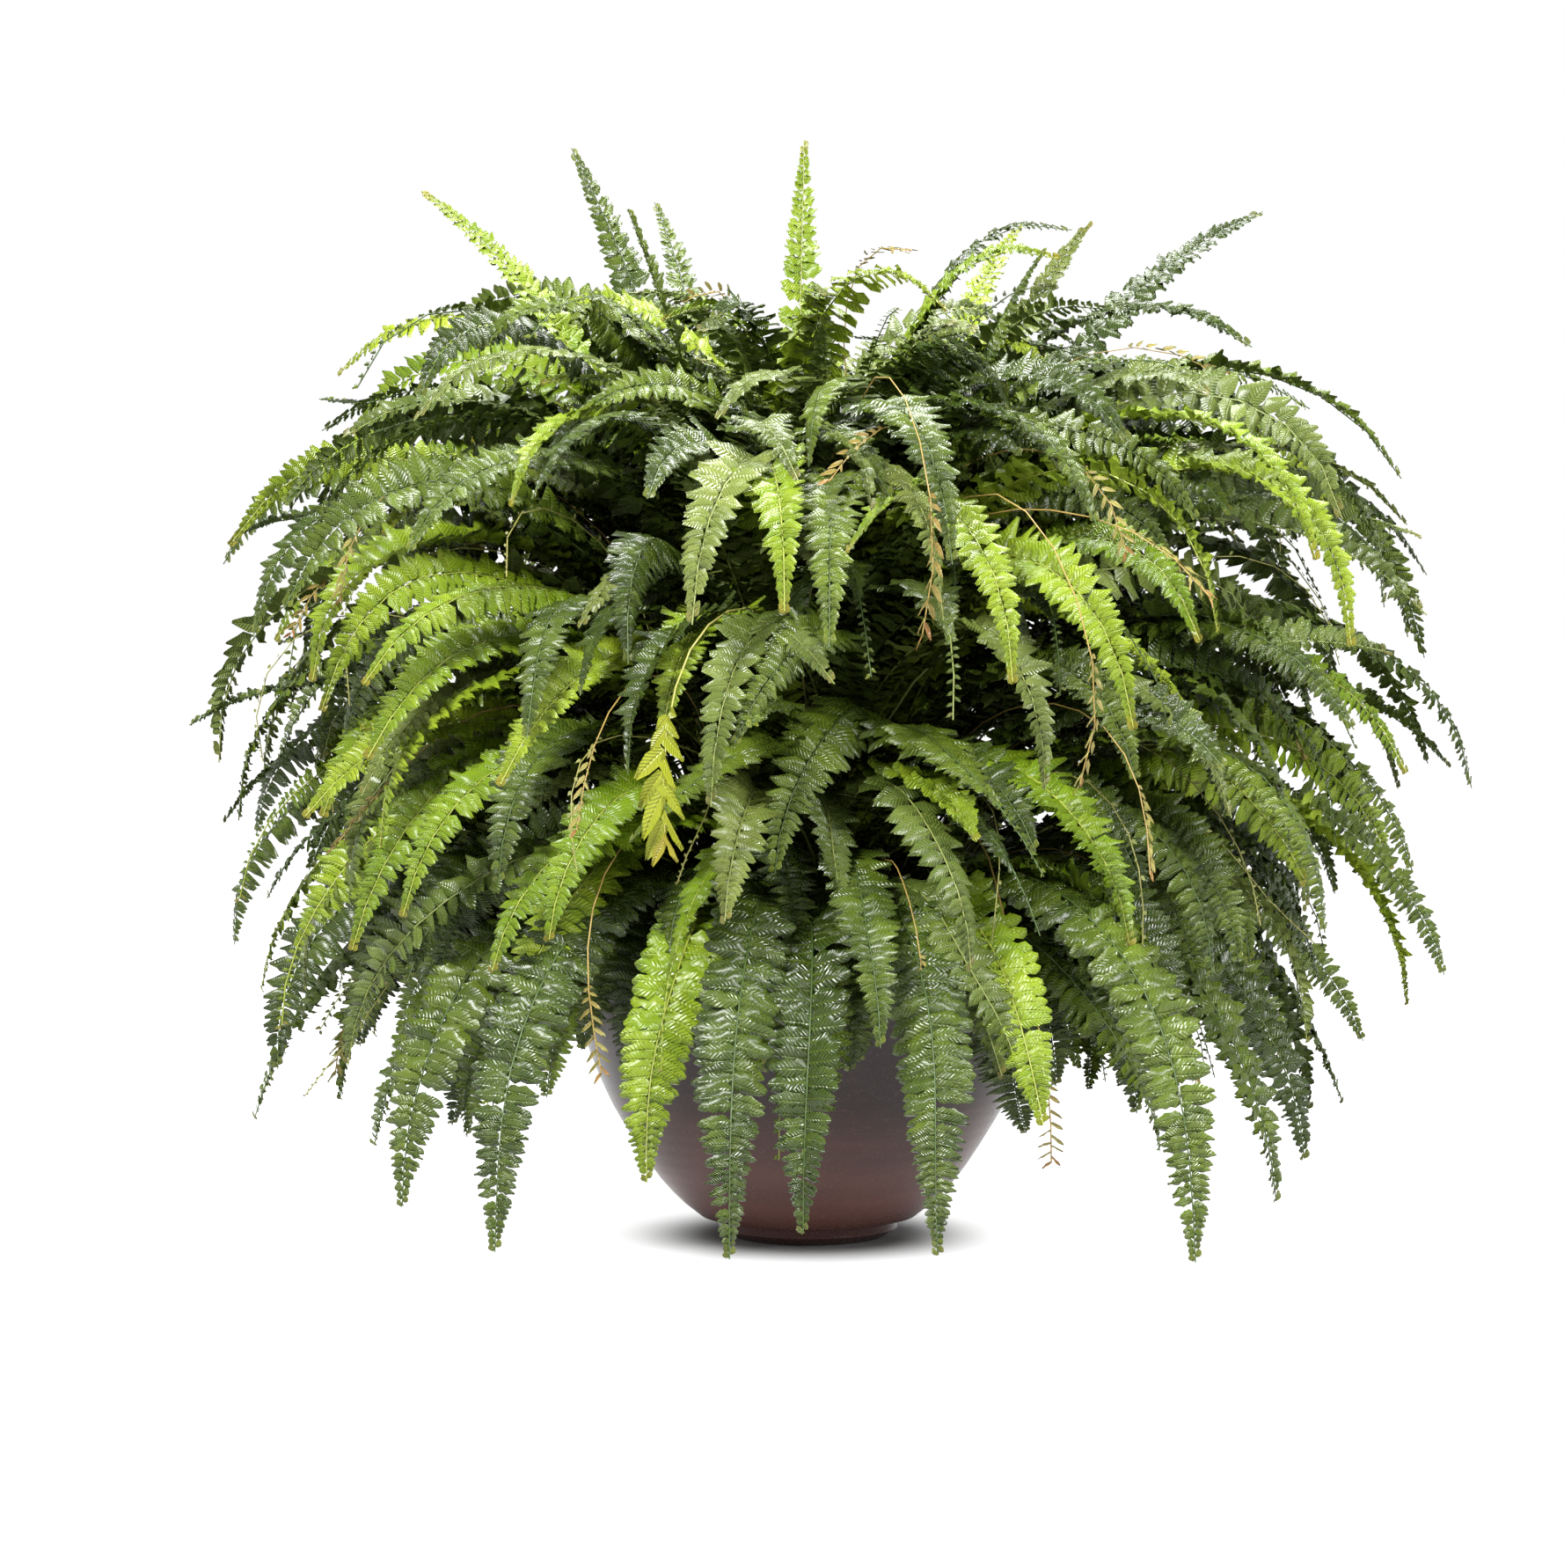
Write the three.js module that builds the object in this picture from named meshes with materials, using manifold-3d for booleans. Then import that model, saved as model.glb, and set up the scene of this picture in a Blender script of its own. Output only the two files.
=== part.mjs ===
// Potted sword fern in a glazed, bowl-shaped pot. Lengths in millimetres, angles in degrees.
// +Z is up and the origin is the centre of the pot's flat foot. The plant's front faces -Y.
import * as THREE from 'three';
import { mergeVertices } from 'three/addons/utils/BufferGeometryUtils.js';
import Module from 'manifold-3d';

// Pot
const POT_HEIGHT = 200;
const RIM_RADIUS = 180;
const FOOT_RADIUS = 58;
const POT_WALL = 9;
const POT_FLOOR = 12;
const POT_SEGMENTS = 40;
const WALL_STATIONS = 16;

// Compost and the crown of old stem bases lying on it
const SOIL_DEPTH_BELOW_RIM = 26;
const CROWN_RADIUS = 108;
const CROWN_HEIGHT = 17;
const CROWN_EDGE = 3;
const CROWN_STATIONS = 5;
const CROWN_SEGMENTS = 30;

// Fronds
const STALK_WIDTH = 4.6;
const STALK_THICKNESS = 4;
const BLADE_THICKNESS = 2;
const TIP_THICKNESS = 1;
const BLADE_START = 0.14;
const BLADE_FULL = 0.4;
const BLADE_NARROWS = 0.62;
const FROND_STATIONS = 13;

// Clearances
const FIT_GAP = 0.3;
const LEAF_GAP = 0.5;
const FLOOR_GAP = 6;

// Each ring of fronds shares a launch angle, a blade width, a place for its roots as a share of
// the crown's radius, and a settling power, which says how early the arch is spent. Every frond in
// it has its own bearing, length, angle at the tip and leaf colour. A bearing of 270 points to the
// front and 0 to the right.
const RINGS = [
  {
    name: 'hanging', root: 0.72, launch: 66, width: 58, settle: 1.3,
    fronds: [
      [271, 480, -86, 'mature'], [240, 540, -86, 'mature'], [306, 570, -86, 'mature'],
      [262, 530, -86, 'mature'], [283, 520, -86, 'mature'], [322, 490, -86, 'mature'],
      [340, 450, -84, 'mature'], [224, 480, -86, 'mature'], [208, 400, -84, 'mature'],
      [252, 430, -80, 'young'], [294, 430, -66, 'young'], [358, 450, -75, 'mature'],
      [192, 470, -75, 'mature'], [16, 480, -80, 'mature'], [44, 500, -84, 'mature'],
      [75, 500, -84, 'mature'], [104, 510, -86, 'mature'], [135, 480, -84, 'mature'],
      [163, 450, -80, 'mature'],
    ],
  },
  {
    name: 'spreading', root: 0.52, launch: 76, width: 58, settle: 0.8,
    fronds: [
      [188, 530, -38, 'mature'], [4, 570, -50, 'mature'], [172, 530, -60, 'mature'],
      [206, 410, -22, 'young'], [342, 520, -22, 'sage'], [20, 590, -70, 'mature'],
      [158, 550, -24, 'mature'], [328, 380, -18, 'young'], [220, 430, -44, 'mature'],
      [42, 530, -26, 'mature'], [312, 500, -40, 'mature'], [262, 450, -24, 'mature'],
      [238, 380, -36, 'sage'], [112, 450, -24, 'mature'], [70, 470, -34, 'mature'],
      [285, 410, -46, 'young'],
    ],
  },
  {
    name: 'arching', root: 0.33, launch: 82, width: 54, settle: 0.6,
    fronds: [
      [180, 600, -32, 'mature'], [352, 620, -36, 'sage'], [158, 650, -8, 'mature'],
      [30, 650, -10, 'mature'], [205, 510, 2, 'sage'], [335, 570, -20, 'mature'],
      [250, 510, 24, 'sage'], [285, 490, 0, 'mature'], [58, 650, 2, 'mature'],
      [138, 650, 6, 'mature'], [90, 600, 10, 'mature'], [310, 460, 2, 'young'],
    ],
  },
  {
    name: 'upright', root: 0.18, launch: 84, width: 44, settle: 0.5,
    fronds: [
      [95, 650, 84, 'young'], [165, 660, 58, 'mature'], [188, 670, 28, 'young'],
      [8, 710, 12, 'mature'], [345, 610, 44, 'sage'], [42, 640, 40, 'young'],
      [320, 600, 30, 'mature'], [222, 600, 54, 'mature'], [130, 640, 50, 'mature'],
      [270, 520, 48, 'mature'],
    ],
  },
];

// Leaf colour and surface for each kind of frond
const LEAVES = {
  mature: { color: '#4f6a2b', roughness: 0.42 },
  young: { color: '#9cbc36', roughness: 0.38 },
  sage: { color: '#8da463', roughness: 0.5 },
};

// Share of the flare from foot to rim, against share of the height, up the outside of the bowl
const BOWL_CURVE = [
  [0, 0], [0.27, 0.115], [0.47, 0.245], [0.65, 0.415], [0.78, 0.56], [0.92, 0.78], [1, 1],
];

const wasm = await Module();
wasm.setup();

const radians = THREE.MathUtils.degToRad;

const LIP = POT_WALL / 2;
const WALL_TOP = POT_HEIGHT - LIP;

/** Points [radius, height] up the outside of the bowl, from the foot to below the rounded lip. */
const OUTER_WALL = new THREE.SplineCurve(BOWL_CURVE.map((point) => new THREE.Vector2(...point)))
  .getPoints(WALL_STATIONS)
  .map(({ x, y }) => [FOOT_RADIUS + (RIM_RADIUS - FOOT_RADIUS) * x, WALL_TOP * y]);

/** Outer radius of the bowl at a height above its foot. */
function bowlRadius(height) {
  const upper = Math.max(1, OUTER_WALL.findIndex(([, h]) => h >= height));
  const [r0, h0] = OUTER_WALL[upper - 1];
  const [r1, h1] = OUTER_WALL[upper];
  return r0 + ((r1 - r0) * (height - h0)) / (h1 - h0);
}

/** Points up the inside of the bowl from one height to another, drawn in by a further gap. */
function innerWall(bottom, top, gap) {
  const between = OUTER_WALL.map(([, height]) => height).filter((h) => h > bottom && h < top);
  return [bottom, ...between, top].map((h) => [bowlRadius(h) - POT_WALL - gap, h]);
}

function lathe(points, segments) {
  return new THREE.LatheGeometry(points.map(([r, z]) => new THREE.Vector2(r, z)), segments)
    .rotateX(Math.PI / 2);
}

function potGeometry() {
  const rim = [45, 90, 135].map((turn) => [
    RIM_RADIUS - LIP + LIP * Math.cos(radians(turn)),
    WALL_TOP + LIP * Math.sin(radians(turn)),
  ]);
  const inside = innerWall(POT_FLOOR, WALL_TOP, 0).reverse();
  return lathe([[0, 0], ...OUTER_WALL, ...rim, ...inside, [0, POT_FLOOR]], POT_SEGMENTS);
}

const SOIL_TOP = POT_HEIGHT - SOIL_DEPTH_BELOW_RIM;

function soilGeometry() {
  const bottom = POT_FLOOR + FIT_GAP;
  const wall = innerWall(bottom, SOIL_TOP, 2 * FIT_GAP);
  return lathe([[0, bottom], ...wall, [0, SOIL_TOP]], POT_SEGMENTS);
}

/** Height of the crown's domed top at a distance from the pot's axis. */
function crownTop(radius) {
  const share = Math.min(radius / CROWN_RADIUS, 1);
  return SOIL_TOP + FIT_GAP + CROWN_EDGE + (CROWN_HEIGHT - CROWN_EDGE) * (1 - share * share);
}

function crownGeometry() {
  const dome = Array.from({ length: CROWN_STATIONS + 1 }, (_, i) => {
    const radius = CROWN_RADIUS * (1 - i / CROWN_STATIONS);
    return [radius, crownTop(radius)];
  });
  const bottom = SOIL_TOP + FIT_GAP;
  return lathe([[0, bottom], [CROWN_RADIUS, bottom], ...dome], CROWN_SEGMENTS);
}

/** Share of the full blade width at a share of the frond's length. */
function bladeShare(along) {
  const opening = THREE.MathUtils.smoothstep(along, BLADE_START, BLADE_FULL);
  const closing = Math.max(along - BLADE_NARROWS, 0) / (1 - BLADE_NARROWS);
  return opening * (1 - closing ** 1.6);
}

/** Half sizes across the blade and through it at a share of the frond's length. */
function halfSection(frond, along) {
  const share = bladeShare(along);
  const blade = THREE.MathUtils.lerp(BLADE_THICKNESS, TIP_THICKNESS, along);
  return {
    across: (STALK_WIDTH * (1 - along) + (frond.width - STALK_WIDTH) * share) / 2,
    through: THREE.MathUtils.lerp(STALK_THICKNESS, blade, Math.min(1, along / BLADE_FULL)) / 2,
  };
}

/** Midrib points of an arching frond, each with the directions across and through the blade. */
function midrib(frond) {
  const step = frond.length / FROND_STATIONS;
  const angleAt = (along) =>
    radians(frond.tip + (frond.launch - frond.tip) * (1 - along) ** frond.settle);
  const bearingAt = (along) => radians(frond.bearing + frond.sway * along * along);
  const heading = (along) => {
    const angle = angleAt(along);
    const bearing = bearingAt(along);
    return new THREE.Vector3(
      Math.cos(angle) * Math.cos(bearing), Math.cos(angle) * Math.sin(bearing), Math.sin(angle));
  };
  const start = radians(frond.bearing);
  const rootRadius = frond.root * CROWN_RADIUS;
  const point = new THREE.Vector3(
    rootRadius * Math.cos(start), rootRadius * Math.sin(start),
    crownTop(rootRadius) + STALK_WIDTH / 2 + FIT_GAP);
  return Array.from({ length: FROND_STATIONS + 1 }, (_, i) => {
    const along = i / FROND_STATIONS;
    if (i > 0) point.addScaledVector(heading(along - 0.5 / FROND_STATIONS), step);
    const bearing = bearingAt(along);
    const flat = new THREE.Vector3(-Math.sin(bearing), Math.cos(bearing), 0);
    const roll = radians(frond.roll * along);
    const across = flat.clone().applyAxisAngle(heading(along), roll);
    const through = heading(along).cross(across).negate();
    return { along, point: point.clone(), across, through };
  });
}

/** Closed strip along the midrib: a lens-shaped section at each station and a pointed tip. */
function frondGeometry(frond, extra = 0) {
  const rings = midrib(frond);
  const tip = rings.pop();
  const corners = [];
  for (const { along, point, across, through } of rings) {
    const half = halfSection(frond, along);
    corners.push(
      point.clone().addScaledVector(across, -half.across - extra),
      point.clone().addScaledVector(through, half.through + extra),
      point.clone().addScaledVector(across, half.across + extra),
      point.clone().addScaledVector(through, -half.through - extra),
    );
  }
  const last = corners.length;
  corners.push(tip.point);
  const faces = [0, 2, 1, 0, 3, 2];
  for (let ring = 0; ring < last; ring += 4) {
    for (let side = 0; side < 4; side += 1) {
      const a = ring + side;
      const b = ring + ((side + 1) % 4);
      if (ring + 4 < last) faces.push(a, b, a + 4, b, b + 4, a + 4);
      else faces.push(a, b, last);
    }
  }
  const geometry = new THREE.BufferGeometry();
  geometry.setAttribute('position', new THREE.Float32BufferAttribute(
    corners.flatMap((corner) => corner.toArray()), 3));
  geometry.setIndex(faces);
  return geometry;
}

function solidOf(geometry) {
  const bare = geometry.clone();
  for (const name of Object.keys(bare.attributes)) {
    if (name !== 'position') bare.deleteAttribute(name);
  }
  const merged = mergeVertices(bare, 1e-3);
  return new wasm.Manifold(new wasm.Mesh({
    numProp: 3,
    vertProperties: new Float32Array(merged.attributes.position.array),
    triVerts: new Uint32Array(merged.index.array),
  }));
}

const boxOf = (geometry) => new THREE.Box3().setFromBufferAttribute(geometry.attributes.position);

/** True when the frond, grown by the leaf gap, touches nothing already placed. */
function isClear(frond, placed) {
  const geometry = frondGeometry(frond, LEAF_GAP);
  const box = boxOf(geometry);
  if (box.min.z < FLOOR_GAP) return false;
  const near = placed.filter((other) => other.box.intersectsBox(box));
  if (near.length === 0) return true;
  const solid = solidOf(geometry);
  return near.every((other) => {
    const shared = solid.intersect(other.solid);
    const empty = shared.isEmpty();
    shared.delete();
    return empty;
  });
}

/** Turns, rolls and at last shortens a frond by small steps until it is clear of the others. */
function settle(frond, placed) {
  for (let shortening = 1; ; shortening *= 0.94) {
    for (const roll of [0, 24, -24, 48, -48]) {
      for (const turn of [0, 3, -3, 6, -6, 9, -9]) {
        const tried = {
          ...frond,
          length: frond.length * shortening,
          bearing: frond.bearing + turn,
          roll: frond.roll + roll,
        };
        if (isClear(tried, placed)) return tried;
      }
    }
  }
}

function leafMaterial(kind) {
  return new THREE.MeshStandardMaterial({ ...LEAVES[kind], metalness: 0 });
}

const plant = new THREE.Group();
plant.name = 'potted_fern';
const placed = [];

function place(name, geometry, material) {
  const mesh = new THREE.Mesh(geometry, material);
  mesh.name = name;
  plant.add(mesh);
  placed.push({ solid: solidOf(geometry), box: boxOf(geometry) });
}

place('pot', potGeometry(),
  new THREE.MeshStandardMaterial({ color: '#4f4142', roughness: 0.16, metalness: 0 }));
place('potting_soil', soilGeometry(),
  new THREE.MeshStandardMaterial({ color: '#2e2119', roughness: 0.95, metalness: 0 }));
place('crown', crownGeometry(),
  new THREE.MeshStandardMaterial({ color: '#4a3a24', roughness: 0.9, metalness: 0 }));

for (const ring of RINGS) {
  ring.fronds.forEach(([bearing, length, tip, kind], i) => {
    const number = String(i + 1).padStart(2, '0');
    const lean = i % 2 ? 1 : -1;
    const frond = settle({ ...ring, bearing, length, tip, sway: 7 * lean, roll: -16 * lean }, placed);
    place(`${ring.name}_frond_${number}_${kind}`, frondGeometry(frond), leafMaterial(kind));
  });
}

export default plant;
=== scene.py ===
"""A potted sword fern: glazed bowl, compost, woody crown and arching fronds, in metres.

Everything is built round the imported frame. +Z is up, the pot's foot is centred on the origin and
the front of the plant faces -Y. Each packed frond gives the line, the width and the turn of one
leafy frond, and further fronds between them fill the plant out.
"""

import logging
import math
import random
from dataclasses import dataclass, field
from enum import Enum

import bpy
import numpy as np
from mathutils import Euler, Matrix, Vector


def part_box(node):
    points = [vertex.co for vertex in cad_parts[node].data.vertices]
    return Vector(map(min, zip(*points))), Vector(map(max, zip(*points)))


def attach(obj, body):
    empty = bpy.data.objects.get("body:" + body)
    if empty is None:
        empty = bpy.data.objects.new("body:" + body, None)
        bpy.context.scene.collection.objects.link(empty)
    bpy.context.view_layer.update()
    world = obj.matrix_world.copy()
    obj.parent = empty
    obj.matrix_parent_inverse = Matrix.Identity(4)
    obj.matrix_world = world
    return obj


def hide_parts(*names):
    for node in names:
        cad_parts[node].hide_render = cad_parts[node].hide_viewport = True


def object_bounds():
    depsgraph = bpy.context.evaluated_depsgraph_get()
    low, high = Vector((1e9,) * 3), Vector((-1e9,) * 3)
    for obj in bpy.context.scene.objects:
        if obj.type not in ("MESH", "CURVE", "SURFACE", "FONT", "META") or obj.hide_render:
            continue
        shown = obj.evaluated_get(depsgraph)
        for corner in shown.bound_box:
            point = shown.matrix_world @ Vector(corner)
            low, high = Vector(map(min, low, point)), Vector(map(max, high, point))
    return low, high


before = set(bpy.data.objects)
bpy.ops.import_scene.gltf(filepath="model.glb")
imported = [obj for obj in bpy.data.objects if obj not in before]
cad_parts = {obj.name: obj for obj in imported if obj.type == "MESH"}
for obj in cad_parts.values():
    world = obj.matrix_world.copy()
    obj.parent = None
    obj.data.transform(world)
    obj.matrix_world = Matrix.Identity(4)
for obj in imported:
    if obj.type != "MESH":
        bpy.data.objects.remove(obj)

CAD_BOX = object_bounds()
LOG = logging.getLogger("fern")
MM = 0.001
BODY = "root"

# The golden angle in radians, which spreads bearings evenly however many there are.
GOLDEN_TURN = 2.39996

# A Mix node's two colour inputs, which share their names with its other inputs, and its settings.
MIX_A, MIX_B = 6, 7
COLOUR_MIX = {"data_type": "RGBA", "out": 2}


# ---------------------------------------------------------------- working by hand


def linear(hex_colour: str) -> tuple[float, float, float, float]:
    """Turns an sRGB hex colour to linear light.

    Args:
        hex_colour: six hex digits after a #.

    Returns:
        Red, green, blue and an alpha of 1.
    """
    parts = [int(hex_colour[i : i + 2], 16) / 255 for i in (1, 3, 5)]
    return (*[c / 12.92 if c <= 0.04045 else ((c + 0.055) / 1.055) ** 2.4 for c in parts], 1.0)


def per_mm(size: float) -> float:
    """The scale that gives a pattern blotches of a size in millimetres."""
    return 1 / (size * MM)


def deselect() -> None:
    """Leaves nothing selected and nothing in edit mode."""
    if bpy.context.object and bpy.context.object.mode != "OBJECT":
        bpy.ops.object.mode_set(mode="OBJECT")
    bpy.ops.object.select_all(action="DESELECT")


def pick(*objects: bpy.types.Object) -> bpy.types.Object:
    """Selects these objects alone, with the first one active.

    Args:
        objects: the objects to select.

    Returns:
        The active object.
    """
    deselect()
    for each in objects:
        each.select_set(True)
    bpy.context.view_layer.objects.active = objects[0]
    return objects[0]


def in_edit_mode(obj: bpy.types.Object, faces: str = "SELECT") -> None:
    """Opens an object in edit mode with all of it selected, or none.

    Args:
        obj: the object to edit.
        faces: SELECT or DESELECT.
    """
    pick(obj)
    bpy.ops.object.mode_set(mode="EDIT")
    bpy.ops.mesh.select_all(action=faces)


def done() -> None:
    """Leaves edit mode."""
    bpy.ops.object.mode_set(mode="OBJECT")


def added(name: str) -> bpy.types.Object:
    """Names the primitive just added.

    Args:
        name: its new name.

    Returns:
        The new object.
    """
    obj = bpy.context.object
    obj.name = name
    obj.data.name = name
    return obj


def apply_modifier(obj: bpy.types.Object, kind: str, **settings: object) -> None:
    """Adds a modifier and applies it.

    Args:
        obj: the object to change.
        kind: the modifier's type.
        settings: its settings.
    """
    modifier = obj.modifiers.new(kind.lower(), kind)
    for key, value in settings.items():
        setattr(modifier, key, value)
    pick(obj)
    bpy.ops.object.modifier_apply(modifier=modifier.name)


def joined(name: str, pieces: list[bpy.types.Object]) -> bpy.types.Object:
    """Joins pieces to the first of them.

    Args:
        name: the name of the result.
        pieces: the objects to join.

    Returns:
        The first object, which now holds them all.
    """
    whole = pick(*pieces)
    if len(pieces) > 1:
        bpy.ops.object.join()
    whole.name = name
    whole.data.name = name
    return whole


def corners(obj: bpy.types.Object) -> np.ndarray:
    """Reads a mesh's corners.

    Args:
        obj: the object to read.

    Returns:
        An array of n by 3 coordinates.
    """
    flat = np.empty(len(obj.data.vertices) * 3)
    obj.data.vertices.foreach_get("co", flat)
    return flat.reshape(-1, 3)


def set_corners(obj: bpy.types.Object, places: np.ndarray) -> None:
    """Moves a mesh's corners.

    Args:
        obj: the object to change.
        places: an array of n by 3 coordinates.
    """
    obj.data.vertices.foreach_set("co", np.asarray(places, float).ravel())
    obj.data.update()


def write_value(obj: bpy.types.Object, name: str, domain: str, values: object) -> None:
    """Stores one number for each corner or face of a mesh.

    Args:
        obj: the object to mark.
        name: the attribute's name.
        domain: POINT or FACE.
        values: one number, or one for each element.
    """
    data = obj.data
    attribute = data.attributes.get(name) or data.attributes.new(name, "FLOAT", domain)
    full = np.broadcast_to(np.asarray(values, np.float32), len(attribute.data))
    attribute.data.foreach_set("value", np.ascontiguousarray(full))


def smooth(obj: bpy.types.Object, angle: float = 40) -> bpy.types.Object:
    """Shades an object smooth where its faces meet at less than an angle.

    Args:
        obj: the object to shade.
        angle: the angle in degrees.

    Returns:
        The same object.
    """
    pick(obj)
    bpy.ops.object.shade_smooth_by_angle(angle=math.radians(angle))
    return obj


# ---------------------------------------------------------------- finishes


class Nodes:
    """A material's shader tree, built one node at a time."""

    def __init__(self, name: str) -> None:
        """Starts an empty material.

        Args:
            name: the material's name.
        """
        self.material = bpy.data.materials.new(name)
        self.material.use_nodes = True
        self.tree = self.material.node_tree
        self.tree.nodes.clear()

    def add(self, kind: str, *values: object, out: int | str = 0, named: dict | None = None,
            **settings: object) -> bpy.types.NodeSocket | None:
        """Adds a node with its settings and links.

        Args:
            kind: the node's type without its ShaderNode prefix.
            values: what its inputs take in order, each a value or a socket to link.
            out: the output to hand back, by number or name.
            named: what further inputs take, by number or name.
            settings: the node's own properties.

        Returns:
            The chosen output, or None if the node has none.
        """
        node = self.tree.nodes.new("ShaderNode" + kind)
        for key, value in settings.items():
            setattr(node, key, value)
        for key, value in {**dict(enumerate(values)), **(named or {})}.items():
            if isinstance(value, bpy.types.NodeSocket):
                self.tree.links.new(value, node.inputs[key])
            else:
                node.inputs[key].default_value = value
        return node.outputs[out] if len(node.outputs) else None

    def finish(self, surface: bpy.types.NodeSocket) -> bpy.types.Material:
        """Ends the tree.

        Args:
            surface: the shader for the surface.

        Returns:
            The finished material.
        """
        self.add("OutputMaterial", surface)
        return self.material


@dataclass(frozen=True)
class FernLeaf:
    """Fresh fern leaflet: thin, waxy tissue with a pressed-in midrib and side veins.

    The wax gives small pale glints along the ridges between the veins, and the ridges are also
    painted lighter in the leaf's colour, a painted highlight along their crests. The thin blade
    lets some light through, and the underside is paler and duller than the top. Real veins are too
    fine to show, so there are fewer of them here and they stand up further.
    """

    name: str
    deep: str
    middle: str
    light: str
    tip: str
    gloss: float = 0.26
    passing: float = 0.12
    wax: float = 0.2
    veins: int = 9
    vein_slant: float = 0.16
    ridge_mm: float = 0.9
    blotch_mm: float = 34
    speckle_mm: float = 4
    midrib_share: float = 0.17
    tip_fade: float = 0.42
    tip_from: float = 0.975

    def material(self) -> bpy.types.Material:
        """Builds the leaf's material.

        Returns:
            The material.
        """
        n = Nodes(self.name)
        deep, middle = linear(self.deep), linear(self.middle)
        light, tip = linear(self.light), linear(self.tip)
        uv = n.add("UVMap", uv_map="UVMap")
        tint = n.add("Attribute", out="Fac", attribute_name="tint")
        along = n.add("Attribute", out="Fac", attribute_name="along")
        under = n.add("Attribute", out="Fac", attribute_name="under")
        where = n.add("TexCoord", out="Object")
        lengthwise = n.add("SeparateXYZ", uv)
        across = n.add("SeparateXYZ", uv, out=1)
        side = n.add("Math", across, 2.0, -1.0, operation="MULTIPLY_ADD")
        side = n.add("Math", side, operation="ABSOLUTE")
        slant = n.add("Math", side, -self.vein_slant, lengthwise, operation="MULTIPLY_ADD")
        wave = n.add("Math", slant, self.veins * math.tau, operation="MULTIPLY")
        wave = n.add("Math", wave, operation="SINE")
        ridge = n.add("Math", wave, 0.5, 0.5, operation="MULTIPLY_ADD")
        midrib = n.add("MapRange", side, 0.0, self.midrib_share, 1.0, 0.0)
        blotches = {"Vector": where, "Scale": per_mm(self.blotch_mm), "Detail": 3}
        blotch = n.add("TexNoise", named=blotches)
        speckles = {"Vector": where, "Scale": per_mm(self.speckle_mm), "Detail": 2}
        fleck = n.add("TexNoise", named=speckles)
        shade = n.add("Math", tint, 0.52, -0.26, operation="MULTIPLY_ADD")
        shade = n.add("Math", along, self.tip_fade, shade, operation="MULTIPLY_ADD")
        shade = n.add("Math", blotch, 0.6, shade, operation="MULTIPLY_ADD")
        low = n.add("MapRange", shade, 0.0, 0.5)
        high = n.add("MapRange", shade, 0.5, 1.0)
        body = n.add("Mix", low, named={MIX_A: deep, MIX_B: middle}, **COLOUR_MIX)
        body = n.add("Mix", high, named={MIX_A: body, MIX_B: light}, **COLOUR_MIX)
        # Painted highlight: the ridges between the veins are painted lighter, as if lit along their
        # crests.
        share = n.add("Math", ridge, 0.22, operation="MULTIPLY")
        body = n.add("Mix", share, named={MIX_A: body, MIX_B: light}, **COLOUR_MIX)
        share = n.add("Math", midrib, 0.35, operation="MULTIPLY")
        body = n.add("Mix", share, named={MIX_A: body, MIX_B: light}, **COLOUR_MIX)
        share = n.add("MapRange", fleck, 0.62, 0.8, 0.0, 0.25)
        body = n.add("Mix", share, named={MIX_A: body, MIX_B: deep}, **COLOUR_MIX)
        share = n.add("MapRange", along, self.tip_from, 1.0, 0.0, 0.8)
        body = n.add("Mix", share, named={MIX_A: body, MIX_B: tip}, **COLOUR_MIX)
        share = n.add("Math", under, 0.3, operation="MULTIPLY")
        body = n.add("Mix", share, named={MIX_A: body, MIX_B: light}, **COLOUR_MIX)
        height = n.add("Math", fleck, 0.5, operation="MULTIPLY")
        height = n.add("Math", ridge, 0.55, height, operation="MULTIPLY_ADD")
        height = n.add("Math", midrib, -0.8, height, operation="MULTIPLY_ADD")
        relief = {"Strength": 0.8, "Distance": self.ridge_mm * MM, "Height": height}
        bump = n.add("Bump", named=relief)
        gloss = n.add("Math", fleck, 0.16, self.gloss - 0.08, operation="MULTIPLY_ADD")
        gloss = n.add("Math", under, 0.2, gloss, operation="MULTIPLY_ADD")
        blade = {
            "Base Color": body, "Roughness": gloss, "IOR": 1.5, "Coat Weight": self.wax,
            "Coat Roughness": 0.22, "Normal": bump,
        }
        surface = n.add("BsdfPrincipled", named=blade)
        through = n.add("BsdfTranslucent", named={"Color": body, "Normal": bump})
        return n.finish(n.add("MixShader", self.passing, surface, through))


@dataclass(frozen=True)
class FernStalk:
    """Living fern stalk: a wiry midrib, brown and scaly at its root and green above.

    The eye sees a dull thread that greens as it climbs, streaked along its length.
    """

    name: str
    root: str
    upper: str
    streak_mm: float = 5

    def material(self) -> bpy.types.Material:
        """Builds the stalk's material.

        Returns:
            The material.
        """
        n = Nodes(self.name)
        root, upper = linear(self.root), linear(self.upper)
        along = n.add("Attribute", out="Fac", attribute_name="along")
        where = n.add("TexCoord", out="Object")
        streaks = {"Vector": where, "Scale": per_mm(self.streak_mm), "Detail": 4}
        streak = n.add("TexNoise", named=streaks)
        share = n.add("Math", streak, 0.2, along, operation="MULTIPLY_ADD")
        share = n.add("MapRange", share, 0.08, 0.42)
        body = n.add("Mix", share, named={MIX_A: root, MIX_B: upper}, **COLOUR_MIX)
        share = n.add("Math", streak, 0.3, operation="MULTIPLY")
        body = n.add("Mix", share, named={MIX_A: body, MIX_B: root}, **COLOUR_MIX)
        bump = n.add("Bump", named={"Strength": 0.5, "Distance": 0.3 * MM, "Height": streak})
        rough = n.add("Math", streak, 0.3, 0.32, operation="MULTIPLY_ADD")
        skin = {"Base Color": body, "Roughness": rough, "Normal": bump}
        return n.finish(n.add("BsdfPrincipled", named=skin))


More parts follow.
